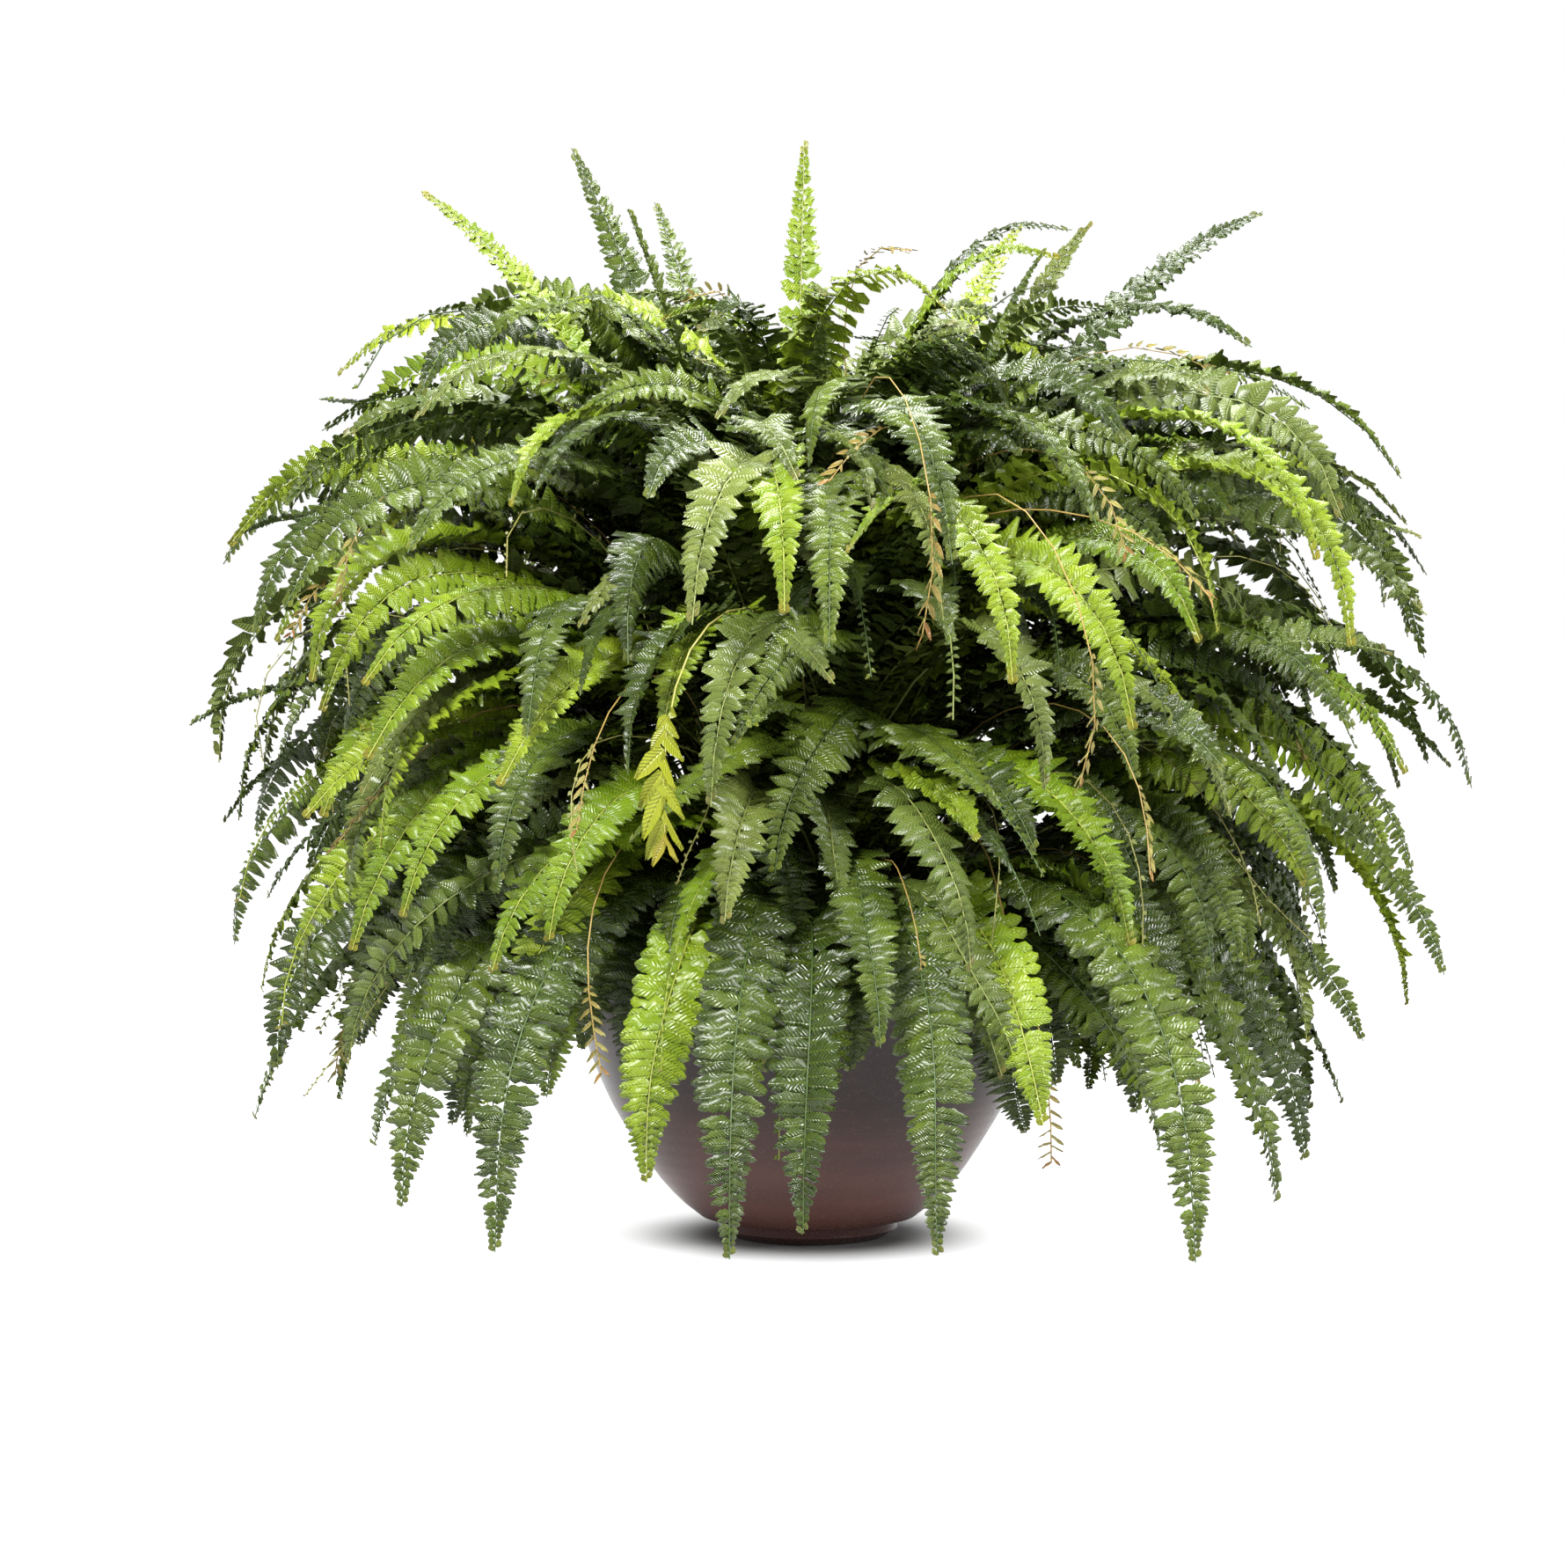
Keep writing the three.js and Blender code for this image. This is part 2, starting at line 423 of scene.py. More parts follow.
@dataclass(frozen=True)
class GlazedStoneware:
    """Thrown stoneware under a glossy iron glaze.

    The glaze pools darker in the middle of the wall and breaks redder and lighter low down and at
    the lip. Faint throwing rings and pinholes break up its soft highlights. The pinholes are drawn
    larger than real ones, so that they show.
    """

    name: str
    dark: str
    red: str
    pale: str
    lip_height: float
    pool_mm: float = 90
    pinhole_mm: float = 2.2
    ring_mm: float = 9

    def material(self) -> bpy.types.Material:
        """Builds the glaze.

        Returns:
            The material.
        """
        n = Nodes(self.name)
        dark, red, pale = linear(self.dark), linear(self.red), linear(self.pale)
        where = n.add("TexCoord", out="Object")
        height = n.add("SeparateXYZ", where, out=2)
        squeezed = n.add("Mapping", named={"Vector": where, "Scale": (1, 1, 4)})
        pools = {"Vector": squeezed, "Scale": per_mm(self.pool_mm), "Detail": 5}
        pooled = n.add("TexNoise", named=pools)
        pinholes = {"Vector": where, "Scale": per_mm(self.pinhole_mm), "Detail": 2}
        speck = n.add("TexNoise", named=pinholes)
        up = n.add("Math", height, self.lip_height, operation="DIVIDE")
        lean = n.add("Math", pooled, 0.5, -0.25, operation="MULTIPLY_ADD")
        lean = n.add("Math", up, lean, operation="ADD")
        share = n.add("MapRange", lean, 0.15, 0.62)
        body = n.add("Mix", share, named={MIX_A: red, MIX_B: dark}, **COLOUR_MIX)
        share = n.add("MapRange", up, 0.965, 1.0, 0.0, 0.7)
        body = n.add("Mix", share, named={MIX_A: body, MIX_B: pale}, **COLOUR_MIX)
        share = n.add("MapRange", speck, 0.62, 0.74, 0.0, 0.35)
        body = n.add("Mix", share, named={MIX_A: body, MIX_B: pale}, **COLOUR_MIX)
        wander = n.add("Math", pooled, 5.0, operation="MULTIPLY")
        turns = math.tau * per_mm(self.ring_mm)
        rings = n.add("Math", height, turns, wander, operation="MULTIPLY_ADD")
        rings = n.add("Math", rings, operation="SINE")
        relief = n.add("Math", pooled, 0.9, operation="MULTIPLY")
        relief = n.add("Math", rings, 0.22, relief, operation="MULTIPLY_ADD")
        bump = n.add("Bump", named={"Strength": 0.35, "Distance": 0.5 * MM, "Height": relief})
        rough = n.add("Math", speck, 0.16, 0.2, operation="MULTIPLY_ADD")
        glaze = {
            "Base Color": body, "Roughness": rough, "IOR": 1.39, "Coat Weight": 0.04,
            "Coat Roughness": 0.2, "Normal": bump,
        }
        return n.finish(n.add("BsdfPrincipled", named=glaze))


@dataclass(frozen=True)
class Earth:
    """Peaty compost or matted fern fibre: dull, dark crumbs with paler flecks of bark."""

    name: str
    dark: str
    brown: str
    fleck: str
    grain_mm: float

    def material(self) -> bpy.types.Material:
        """Builds the earth's material.

        Returns:
            The material.
        """
        n = Nodes(self.name)
        dark, brown, chip = linear(self.dark), linear(self.brown), linear(self.fleck)
        where = n.add("TexCoord", out="Object")
        clods = {"Vector": where, "Scale": per_mm(self.grain_mm * 4), "Detail": 5}
        clod = n.add("TexNoise", named=clods)
        chips = {"Vector": where, "Scale": per_mm(self.grain_mm * 1.5), "Detail": 1}
        share = n.add("MapRange", n.add("TexNoise", named=chips), 0.62, 0.7, 0.0, 0.6)
        grain = n.add("TexVoronoi", named={"Vector": where, "Scale": per_mm(self.grain_mm)})
        body = n.add("Mix", clod, named={MIX_A: dark, MIX_B: brown}, **COLOUR_MIX)
        body = n.add("Mix", share, named={MIX_A: body, MIX_B: chip}, **COLOUR_MIX)
        bump = n.add("Bump", named={"Strength": 1.0, "Distance": 0.8 * MM, "Height": grain})
        rough = n.add("Math", clod, 0.2, 0.76, operation="MULTIPLY_ADD")
        soil = {"Base Color": body, "Roughness": rough, "Normal": bump}
        return n.finish(n.add("BsdfPrincipled", named=soil))


@dataclass(frozen=True)
class StudioPaper:
    """Seamless pale paper, matt, glowing evenly white but for a painted contact shadow under the
    pot.

    Its tooth is barely visible, and drawn coarser than a real one so that it shows at all.
    """

    name: str = "seamless_paper_matt"
    white: str = "#7a7a7a"
    fibre: str = "#989898"
    glow: float = 1.0
    painted_shadow_glow: float = 0.02
    shaded_from: float = 0.07
    shaded_to: float = 0.155
    tooth_mm: float = 12

    def material(self) -> bpy.types.Material:
        """Builds the paper's material.

        Returns:
            The material.
        """
        n = Nodes(self.name)
        where = n.add("TexCoord", out="Object")
        grain = {"Vector": where, "Scale": per_mm(self.tooth_mm), "Detail": 2}
        tooth = n.add("TexNoise", named=grain)
        share = n.add("Math", tooth, 0.06, operation="MULTIPLY")
        both = {MIX_A: linear(self.white), MIX_B: linear(self.fibre)}
        body = n.add("Mix", share, named=both, **COLOUR_MIX)
        far = n.add("VectorMath", where, out="Value", operation="LENGTH")
        # Painted contact shadow: the glow dims towards the pot's foot, so the paper darkens there.
        glow = n.add(
            "MapRange", far, self.shaded_from, self.shaded_to, self.painted_shadow_glow, self.glow,
            interpolation_type="SMOOTHSTEP")
        paper = {
            "Base Color": body, "Roughness": 0.9, "Emission Color": (1, 1, 1, 1),
            "Emission Strength": glow,
        }
        return n.finish(n.add("BsdfPrincipled", named=paper))


# ---------------------------------------------------------------- fronds


class Leafage(Enum):
    """The kinds of frond, each with the record slot that its leaves take."""

    MATURE = "mature_leaf"
    YOUNG = "young_leaf"
    SAGE = "sage_leaf"
    THREAD = "sage_leaf.thread"
    RUNNER = "sage_leaf.runner"
    BROAD = "young_leaf.broad"

    @property
    def slot(self) -> str:
        """The record's material slot."""
        return self.value.split(".")[0]

    @property
    def wiry(self) -> bool:
        """Whether it is a thread or a runner rather than a blade."""
        return self in (Leafage.THREAD, Leafage.RUNNER)


@dataclass(frozen=True)
class LeafletHabit:
    """How the leaflets of one kind of frond are shaped and set along their stalk.

    breadth is the whole frond's width in metres, aspect a leaflet's width over its length,
    closeness the step between leaflets over their width, and spread the angle in degrees between
    leaflet and stalk. The rest are shares of a leaflet's own size.
    """

    breadth: float
    aspect: float
    closeness: float
    spread: float
    droop: float
    cup: float
    tooth: float
    ruffle: float
    blunt: float = 2.3


@dataclass
class FrondLine:
    """The run of one frond: midrib points, the side direction at each, and its full width."""

    name: str
    kind: Leafage
    points: np.ndarray
    sides: np.ndarray
    breadth: float

    @classmethod
    def read(cls, node: bpy.types.Object, kind: Leafage) -> "FrondLine":
        """Finds the line of a packed frond from its rings of four corners.

        Args:
            node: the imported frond.
            kind: its leafage.

        Returns:
            The frond's line, root first.
        """
        places, same = np.unique(np.round(corners(node), 6), axis=0, return_inverse=True)
        same = same.ravel()
        near: dict[int, set[int]] = {i: set() for i in range(len(places))}
        for face in node.data.polygons:
            ids = [int(same[v]) for v in face.vertices]
            for a in ids:
                near[a].update(b for b in ids if b != a)
        heart = np.array([0.0, 0.0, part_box("crown")[1].z])
        # The tip's corner meets all four of the ring before it, and the walk starts from there.
        ends = [i for i in near if len(near[i]) == 4]
        tip = max(ends, key=lambda i: float(np.linalg.norm(places[i] - heart)))
        seen, rings, ring = {tip}, [], {tip}
        while ring:
            rings.append(sorted(ring))
            ring = {b for a in ring for b in near[a]} - seen
            seen |= ring
        rings.reverse()
        middles = np.array([places[r].mean(0) for r in rings])
        sides: list[np.ndarray | None] = []
        widest = 0.0
        for r in rings[:-1]:
            gaps = places[r][:, None] - places[r][None]
            widths = np.linalg.norm(gaps, axis=2)
            i, j = np.unravel_index(widths.argmax(), widths.shape)
            # A round stalk's ring is a square, whose two diagonals are equal.
            round_here = widths[i, j] < 1.02 * np.sort(widths.ravel())[-3]
            sides.append(None if round_here else gaps[i, j] / widths[i, j])
            widest = max(widest, float(widths[i, j]))
        return cls(node.name, kind, middles, cls.agreed(middles, sides), widest)

    @staticmethod
    def agreed(points: np.ndarray, sides: list) -> np.ndarray:
        """Turns the side directions to agree along the frond, with its upper face up at the root.

        Args:
            points: the midrib points.
            sides: a direction for each ring but the tip, or None where the stalk is round.

        Returns:
            One unit direction for each point.
        """
        last = next(s for s in sides if s is not None)
        out = []
        for side in [*sides, None]:
            side = last if side is None else side
            last = side if float(np.dot(side, last)) > 0 else -side
            out.append(last)
        turned = np.array(out)
        runs = np.gradient(points, axis=0)
        runs /= np.linalg.norm(runs, axis=1, keepdims=True)
        away = points[-1] - points[0]
        away[2] = 0
        away /= max(float(np.linalg.norm(away)), 1e-9)
        upper = -runs[:, 2:3] * away[None] + (runs @ away)[:, None] * np.array([[0, 0, 1.0]])
        if float((np.cross(runs, turned) * upper).sum()) < 0:
            turned = -turned
        return turned

    @classmethod
    def arch(cls, name: str, kind: Leafage, reach: "Arch", breadth: float) -> "FrondLine":
        """Lays a frond in an arch from its root to its tip.

        Args:
            name: the frond's name.
            kind: its leafage.
            reach: the arch.
            breadth: the frond's width.

        Returns:
            The frond's line.
        """
        points, headings, runs = reach.laid()
        sides = np.stack([-np.sin(headings), np.cos(headings), 0 * headings], 1)
        share = np.linspace(0, 1, len(points))[:, None] ** 1.5
        roll = share * reach.roll
        sides = np.cos(roll) * sides + np.sin(roll) * np.cross(runs, sides)
        return cls(name, kind, points, sides, breadth)

    def livened(self, rng: random.Random, roll: float, waver: float) -> "FrondLine":
        """Rolls the blade about its stalk towards the tip and lets the stalk waver.

        Args:
            rng: where the waver comes from.
            roll: how far the blade has turned at its tip, in radians.
            waver: how far the stalk wanders to each side.

        Returns:
            The same line, changed.
        """
        runs = np.gradient(self.points, axis=0)
        runs /= np.linalg.norm(runs, axis=1, keepdims=True)
        share = np.linspace(0, 1, len(self.points))[:, None]
        angle = roll * share**1.2
        faces = np.cross(runs, self.sides)
        self.sides = np.cos(angle) * self.sides + np.sin(angle) * faces
        for axis in (self.sides, faces):
            turns, start = rng.uniform(1.2, 2.6), rng.uniform(0, math.tau)
            wave = np.sin(share * turns * math.tau + start) - math.sin(start) * (1 - share)
            self.points = self.points + axis * wave * waver * np.minimum(1, share * 3)
        return self

    @property
    def steps(self) -> np.ndarray:
        """Distance from the root to each point."""
        return np.r_[0, np.cumsum(np.linalg.norm(np.diff(self.points, axis=0), axis=1))]

    @property
    def length(self) -> float:
        """Length of the frond from root to tip."""
        return float(self.steps[-1])

    def curve(self, lead: float) -> bpy.types.Object:
        """Draws the frond's line as a curve to bend along.

        Args:
            lead: how far the curve starts below the root, along the stalk.

        Returns:
            A curve object whose tilt turns the blade.
        """
        steps = self.steps
        fine = np.linspace(0, steps[-1], 3 * len(steps))
        points = self.eased(steps, self.points, fine)
        sides = np.stack([np.interp(fine, steps, self.sides[:, k]) for k in range(3)], 1)
        first = points[1] - points[0]
        points = np.vstack([points[0] - first / np.linalg.norm(first) * lead, points])
        sides = np.vstack([sides[:1], sides])
        runs = np.gradient(points, axis=0)
        runs /= np.linalg.norm(runs, axis=1, keepdims=True)
        sides -= (sides * runs).sum(1, keepdims=True) * runs
        sides /= np.linalg.norm(sides, axis=1, keepdims=True)
        faces = np.cross(runs, sides)
        up = np.array([[0, 0, 1.0]]) - runs[:, 2:3] * runs
        up /= np.linalg.norm(up, axis=1, keepdims=True)
        flat = np.cross(up, runs)
        tilts = np.unwrap(np.arctan2(-(faces * flat).sum(1), (faces * up).sum(1)))
        data = bpy.data.curves.new("line", "CURVE")
        data.dimensions = "3D"
        data.twist_mode = "Z_UP"
        spline = data.splines.new("POLY")
        spline.points.add(len(points) - 1)
        spline.points.foreach_set("co", np.c_[points, np.ones(len(points))].ravel())
        spline.points.foreach_set("tilt", tilts)
        line = bpy.data.objects.new("line", data)
        bpy.context.scene.collection.objects.link(line)
        return line

    @staticmethod
    def eased(steps: np.ndarray, values: np.ndarray, fine: np.ndarray) -> np.ndarray:
        """Runs a smooth line through points.

        Args:
            steps: the distance at each point.
            values: the points.
            fine: the distances to read.

        Returns:
            The point at each of those distances.
        """
        slopes = np.gradient(values, steps, axis=0)
        i = np.clip(np.searchsorted(steps, fine, side="right") - 1, 0, len(steps) - 2)
        span = (steps[i + 1] - steps[i])[:, None]
        t = (fine - steps[i])[:, None] / span
        return (
            (2 * t**3 - 3 * t**2 + 1) * values[i]
            + (t**3 - 2 * t**2 + t) * span * slopes[i]
            + (3 * t**2 - 2 * t**3) * values[i + 1]
            + (t**3 - t**2) * span * slopes[i + 1]
        )


@dataclass
class Arch:
    """The path of a stalk that rises from the crown, leans over and comes down to a given tip.

    Angles are in radians. launch and landing are the stalk's slope at its root and its tip,
    sway how far the heading changes on the way, and roll how far the blade turns about its stalk
    by the tip. lags are the least and the most that the bend may lag, as powers.
    """

    root: np.ndarray
    tip: np.ndarray
    launch: float
    landing: float
    sway: float = 0.0
    roll: float = 0.0
    stations: int = 15
    least_far: float = 0.03
    lags: tuple[float, float] = (0.45, 7.0)
    halvings: int = 26

    def slopes(self, lag: float) -> np.ndarray:
        """The stalk's slope at each station when its bend lags by a power."""
        share = np.linspace(0, 1, self.stations)
        return self.launch + (self.landing - self.launch) * share**lag

    def laid(self) -> tuple[np.ndarray, np.ndarray, np.ndarray]:
        """Finds the bend that ends at the tip, then walks along it.

        Returns:
            The points, the heading at each, and the unit direction at each.
        """
        flat = self.tip - self.root
        far, rise = max(self.least_far, math.hypot(flat[0], flat[1])), flat[2]
        low, high = self.lags
        for _ in range(self.halvings):
            lag = math.sqrt(low * high)
            slopes = self.slopes(lag)
            mean_rise, mean_far = self.mean(np.sin(slopes)), self.mean(np.cos(slopes))
            if mean_rise * far > rise * mean_far:
                high = lag
            else:
                low = lag
        whole = math.hypot(far, rise) / math.hypot(mean_far, mean_rise)
        share = np.linspace(0, 1, self.stations)
        headings = math.atan2(flat[1], flat[0]) + self.sway * (share**1.4 - 0.42)
        level = np.cos(slopes)
        runs = np.stack([level * np.cos(headings), level * np.sin(headings), np.sin(slopes)], 1)
        middle = (runs[1:] + runs[:-1]) / 2
        walked = np.cumsum(middle, 0) * whole / (self.stations - 1)
        return np.vstack([self.root, self.root + walked]), headings, runs

    @staticmethod
    def mean(values: np.ndarray) -> float:
        """The mean of a run of values, its ends counted half."""
        return float((values[1:] + values[:-1]).mean() / 2)


@dataclass
class Leaflets:
    """The leaflets of one kind of frond, modelled once in a few forms and then copied.

    A leaflet is a closed, lens-thin blade with a folded midrib, an ear at its base on the side
    nearer the frond's tip, a slight bend towards that tip, and rounded teeth. base_width and
    tip_width are shares of its widest half width, and full_from and tapers_from shares of its
    length.
    """

    habit: LeafletHabit
    material: bpy.types.Material
    rows: int
    forms: int = 3
    seed: int = 5
    length: float = 28 * MM
    thickness: float = 0.45 * MM
    base_width: float = 0.62
    full_from: float = 0.16
    tapers_from: float = 0.3
    tip_width: float = 0.12
    models: dict[int, list[bpy.types.Object]] = field(default_factory=dict)

    def outline(self, along: float) -> float:
        """Gives a leaflet's half width along its length.

        Args:
            along: 0 at its base and 1 at its tip.

        Returns:
            The half width over the widest one.
        """
        base = min(1.0, self.base_width + along / self.full_from * (1 - self.base_width))
        taper = max(0.0, (along - self.tapers_from) / (1 - self.tapers_from))
        return base * max(self.tip_width, 1 - taper**self.habit.blunt) ** 0.8

    def build(self) -> "Leaflets":
        """Models every form, for the left and the right of the stalk.

        Returns:
            These leaflets, ready to copy.
        """
        rng = random.Random(self.seed)
        for side in (1, -1):
            self.models[side] = [self.model(side, rng) for _ in range(self.forms)]
        return self

    def model(self, side: int, rng: random.Random) -> bpy.types.Object:
        """Models one leaflet, pointing along +X with its upper face to +Z.

        Args:
            side: 1 for the left of the stalk, -1 for the right.
            rng: where its irregularity comes from.

        Returns:
            The leaflet, hidden from the scene.
        """
        deselect()
        bpy.ops.mesh.primitive_grid_add(x_subdivisions=self.rows, y_subdivisions=2, size=1)
        leaf = added("leaflet")
        top = len(leaf.data.polygons)
        places = corners(leaf)
        half = self.length * self.habit.aspect / 2
        phase, wave = rng.uniform(0, math.tau), rng.uniform(0.7, 1.3)
        twist, bend = rng.uniform(-0.25, 0.25), rng.uniform(0.0, 0.08)
        for place in places:
            along, across = place[0] + 0.5, place[1] * 2
            row = round(along * self.rows)
            reach = half * self.outline(along)
            edge = abs(across)
            if edge > 0.5:
                tooth = self.habit.tooth if row % 2 else -self.habit.tooth
                reach *= 1 + tooth * (0.4 + 0.6 * along) + rng.uniform(-0.04, 0.04)
                if across * side < 0 and along < 0.2:
                    reach *= 1.32 - along  # the ear
            ruffle = self.habit.ruffle * math.sin(along * 9 * wave + phase + across * 1.4)
            place[0] = along * self.length + (0.03 * self.length * edge if row % 2 else 0)
            place[1] = across * reach - side * bend * self.length * along * along
            place[2] = (
                edge * (self.habit.cup + ruffle) * half
                - self.habit.droop * self.length * along * along
                + twist * across * reach * along
            )
        set_corners(leaf, places)
        in_edit_mode(leaf)
        bpy.ops.mesh.duplicate()
        bpy.ops.mesh.flip_normals()
        done()
        places = corners(leaf)
        row_length = self.rows + 1
        midrib = len(places) // 2 + row_length
        places[midrib + 1 : midrib + row_length - 1, 2] -= self.thickness
        set_corners(leaf, places)
        in_edit_mode(leaf)
        bpy.ops.mesh.remove_doubles(threshold=0.01 * MM)
        done()
        write_value(leaf, "under", "FACE", np.arange(len(leaf.data.polygons)) >= top)
        # A sharp rim keeps the shading of the top and the underside apart, so the blade looks thin.
        upper = {key for face in leaf.data.polygons[:top] for key in face.edge_keys}
        lower = {key for face in leaf.data.polygons[top:] for key in face.edge_keys}
        for edge in leaf.data.edges:
            edge.use_edge_sharp = edge.key in upper and edge.key in lower
        for face in leaf.data.polygons:
            face.use_smooth = True
        leaf.data.materials.append(self.material)
        bpy.context.scene.collection.objects.unlink(leaf)
        return leaf

    def copy(self, side: int, rng: random.Random, place: Matrix, along: float) -> bpy.types.Object:
        """Lays one copy of a leaflet on a straight frond.

        Args:
            side: 1 for the left of the stalk, -1 for the right.
            rng: picks the form and how light the leaflet is.
            place: where it goes.
            along: its share of the way up the frond.

        Returns:
            The copy, linked to the scene.
        """
        model = rng.choice(self.models[side])
        leaf = model.copy()
        leaf.data = model.data.copy()
        leaf.data.transform(place)
        write_value(leaf, "along", "POINT", along)
        write_value(leaf, "tint", "POINT", 0.5 + rng.gauss(0, 0.1))
        bpy.context.scene.collection.objects.link(leaf)
        return leaf


@dataclass
class StraightFrond:
    """A frond laid out straight along +X: a tapering stalk with two rows of leaflets.

    It is modelled once, and every frond of its kind and size is a copy of it, stretched a little
    and bent along its own line. bare and tail are the shares of its length with no leaflets at its
    root and only buds at its tip. From closes_from on, the leaflets close up by closing degrees.
    Each leaflet is tilted by tilt degrees, missing is the chance that one has dropped, and folds
    are the least and the most that a copy folds along its stalk.
    """

    leaflets: Leaflets
    stalk_material: bpy.types.Material
    length: float
    bare: float
    seed: int
    tail: float = 0.0
    least_step: float = 4.6 * MM
    least_width: float = 6.2 * MM
    full_from: float = 0.38
    narrows_from: float = 0.58
    buried: float = 9 * MM
    stalk_root: float = 2.1 * MM
    stalk_tip: float = 0.4 * MM
    stalk_sides: int = 5
    stalk_rings: int = 17
    ends_at: float = 0.993
    closes_from: float = 0.8
    closing: float = 24
    tilt: float = 24
    missing: float = 0.015
    bud_reach: float = 4.2 * MM
    bud_width: float = 2.6 * MM
    bud_step: float = 7.5 * MM
    folds: tuple[float, float] = (-0.22, 0.4)
    shape: bpy.types.Object | None = None

    def half_width(self, share: float) -> float:
        """Gives half the frond's width along its length.

        Args:
            share: 0 at its root and 1 at its tip.

        Returns:
            The half width in metres.
        """
        rise = min(1.0, 0.45 + 0.55 * (share - self.bare) / max(0.02, self.full_from - self.bare))
        end = 1 - self.tail
        fall = max(0.0, (share - self.narrows_from) / (end - self.narrows_from))
        narrow = max(0.13, 1 - min(1.0, fall) ** 1.9)
        return self.leaflets.habit.breadth / 2 * rise * narrow

    def build(self) -> "StraightFrond":
        """Lays stalk and leaflets and joins them.

        Returns:
            This frond, ready to copy.
        """
        rng = random.Random(self.seed)
        self.shape = joined("straight_frond", [self.stalk(), *self.rows_of_leaflets(rng)])
        bpy.context.scene.collection.objects.unlink(self.shape)
        return self

    def stalk(self) -> bpy.types.Object:
        """Models the stalk: a cylinder cut into rings and drawn in towards its tip.

        Returns:
            The stalk.
        """
        deselect()
        bpy.ops.mesh.primitive_cylinder_add(
            vertices=self.stalk_sides, radius=1, depth=1, location=(0.5, 0, 0),
            rotation=(0, math.pi / 2, 0))
        stalk = added("stalk")
        bpy.ops.object.transform_apply(location=True, rotation=True, scale=True)
        in_edit_mode(stalk, "DESELECT")
        bpy.ops.mesh.select_mode(type="EDGE")
        done()
        for edge in stalk.data.edges:
            a, b = (stalk.data.vertices[i].co.x for i in edge.vertices)
            edge.select = abs(a - b) > 0.5
        bpy.ops.object.mode_set(mode="EDIT")
        bpy.ops.mesh.subdivide(number_cuts=self.stalk_rings)
        bpy.ops.mesh.select_mode(type="VERT")
        done()
        places = corners(stalk)
        share = np.clip(places[:, 0], 0, 1)
        radius = self.stalk_root + (self.stalk_tip - self.stalk_root) * share**0.45
        places[:, 0] = share * (self.length + self.buried) * 0.998
        places[:, 1:] *= radius[:, None]
        set_corners(stalk, places)
        write_value(stalk, "along", "POINT", share)
        write_value(stalk, "tint", "POINT", 0.5)
        write_value(stalk, "under", "FACE", 0.0)
        stalk.data.materials.append(self.stalk_material)
        for face in stalk.data.polygons:
            face.use_smooth = len(face.vertices) == 4
        return stalk

    def rows_of_leaflets(self, rng: random.Random) -> list[bpy.types.Object]:
        """Sets leaflets left and right in turn, from the foot of the blade to its tip.

        Args:
            rng: where the leaflets' irregularity comes from.

        Returns:
            The leaflets.
        """
        habit = self.leaflets.habit
        laid = []
        distance = self.length * self.bare
        while distance < self.length * self.ends_at:
            along = distance / self.length
            half = self.half_width(along)
            step = max(half * habit.aspect * habit.closeness, self.least_step)
            width = max(half * habit.aspect, self.least_width)
            if along > 1 - self.tail:
                half, width, step = self.bud_reach, self.bud_width, self.bud_step
            closed = self.closing * max(0.0, along - self.closes_from) / 0.2
            spread = habit.spread - closed
            for side in (1, -1):
                if rng.random() < self.missing:
                    continue
                reach = half * rng.uniform(0.9, 1.06) / math.sin(math.radians(spread))
                turn = math.radians(side * (spread + rng.gauss(0, 4)))
                foot = self.buried + distance + (0.5 * step if side < 0 else 0)
                at = Vector((foot + rng.gauss(0, 0.5) * MM, side * 0.5 * MM, 0.4 * MM))
                place = (
                    Matrix.Translation(at)
                    @ Matrix.Rotation(turn, 4, "Z")
                    @ Matrix.Rotation(math.radians(rng.gauss(0, 8)), 4, "Y")
                    @ Matrix.Rotation(math.radians(side * self.tilt + rng.gauss(0, 11)), 4, "X")
                    @ Matrix.Diagonal((
                        reach / self.leaflets.length,
                        width / (self.leaflets.length * habit.aspect),
                        reach / self.leaflets.length, 1))
                )
                laid.append(self.leaflets.copy(side, rng, place, along))
            distance += step * rng.uniform(0.93, 1.07)
        return laid

    def grown(self, line: FrondLine, rng: random.Random) -> bpy.types.Object:
        """Copies the frond out along a line.

        Args:
            line: where it runs.
            rng: where its own fold, waves and tint come from.

        Returns:
            The bent frond.
        """
        frond = self.shape.copy()
        frond.data = self.shape.data.copy()
        bpy.context.scene.collection.objects.link(frond)
        frond.name = frond.data.name = line.name
        places = corners(frond)
        share = places[:, 0] / (self.length + self.buried)
        wide = line.breadth / self.leaflets.habit.breadth
        fold = rng.uniform(*self.folds)
        waves, start = rng.uniform(5, 11), rng.uniform(0, 6)
        fold = fold + 0.2 * np.sin(share * waves + start)
        places[:, 0] = share * (line.length + self.buried)
        places[:, 2] += np.abs(places[:, 1]) * fold
        places[:, 1:] *= wide
        set_corners(frond, places)
        tint = np.empty(len(places), np.float32)
        frond.data.attributes["tint"].data.foreach_get("value", tint)
        write_value(frond, "tint", "POINT", np.clip(tint + rng.uniform(-0.45, 0.45), 0, 1))
        curve = line.curve(self.buried)
        apply_modifier(frond, "CURVE", object=curve, deform_axis="POS_X")
        bpy.data.objects.remove(curve)
        return frond


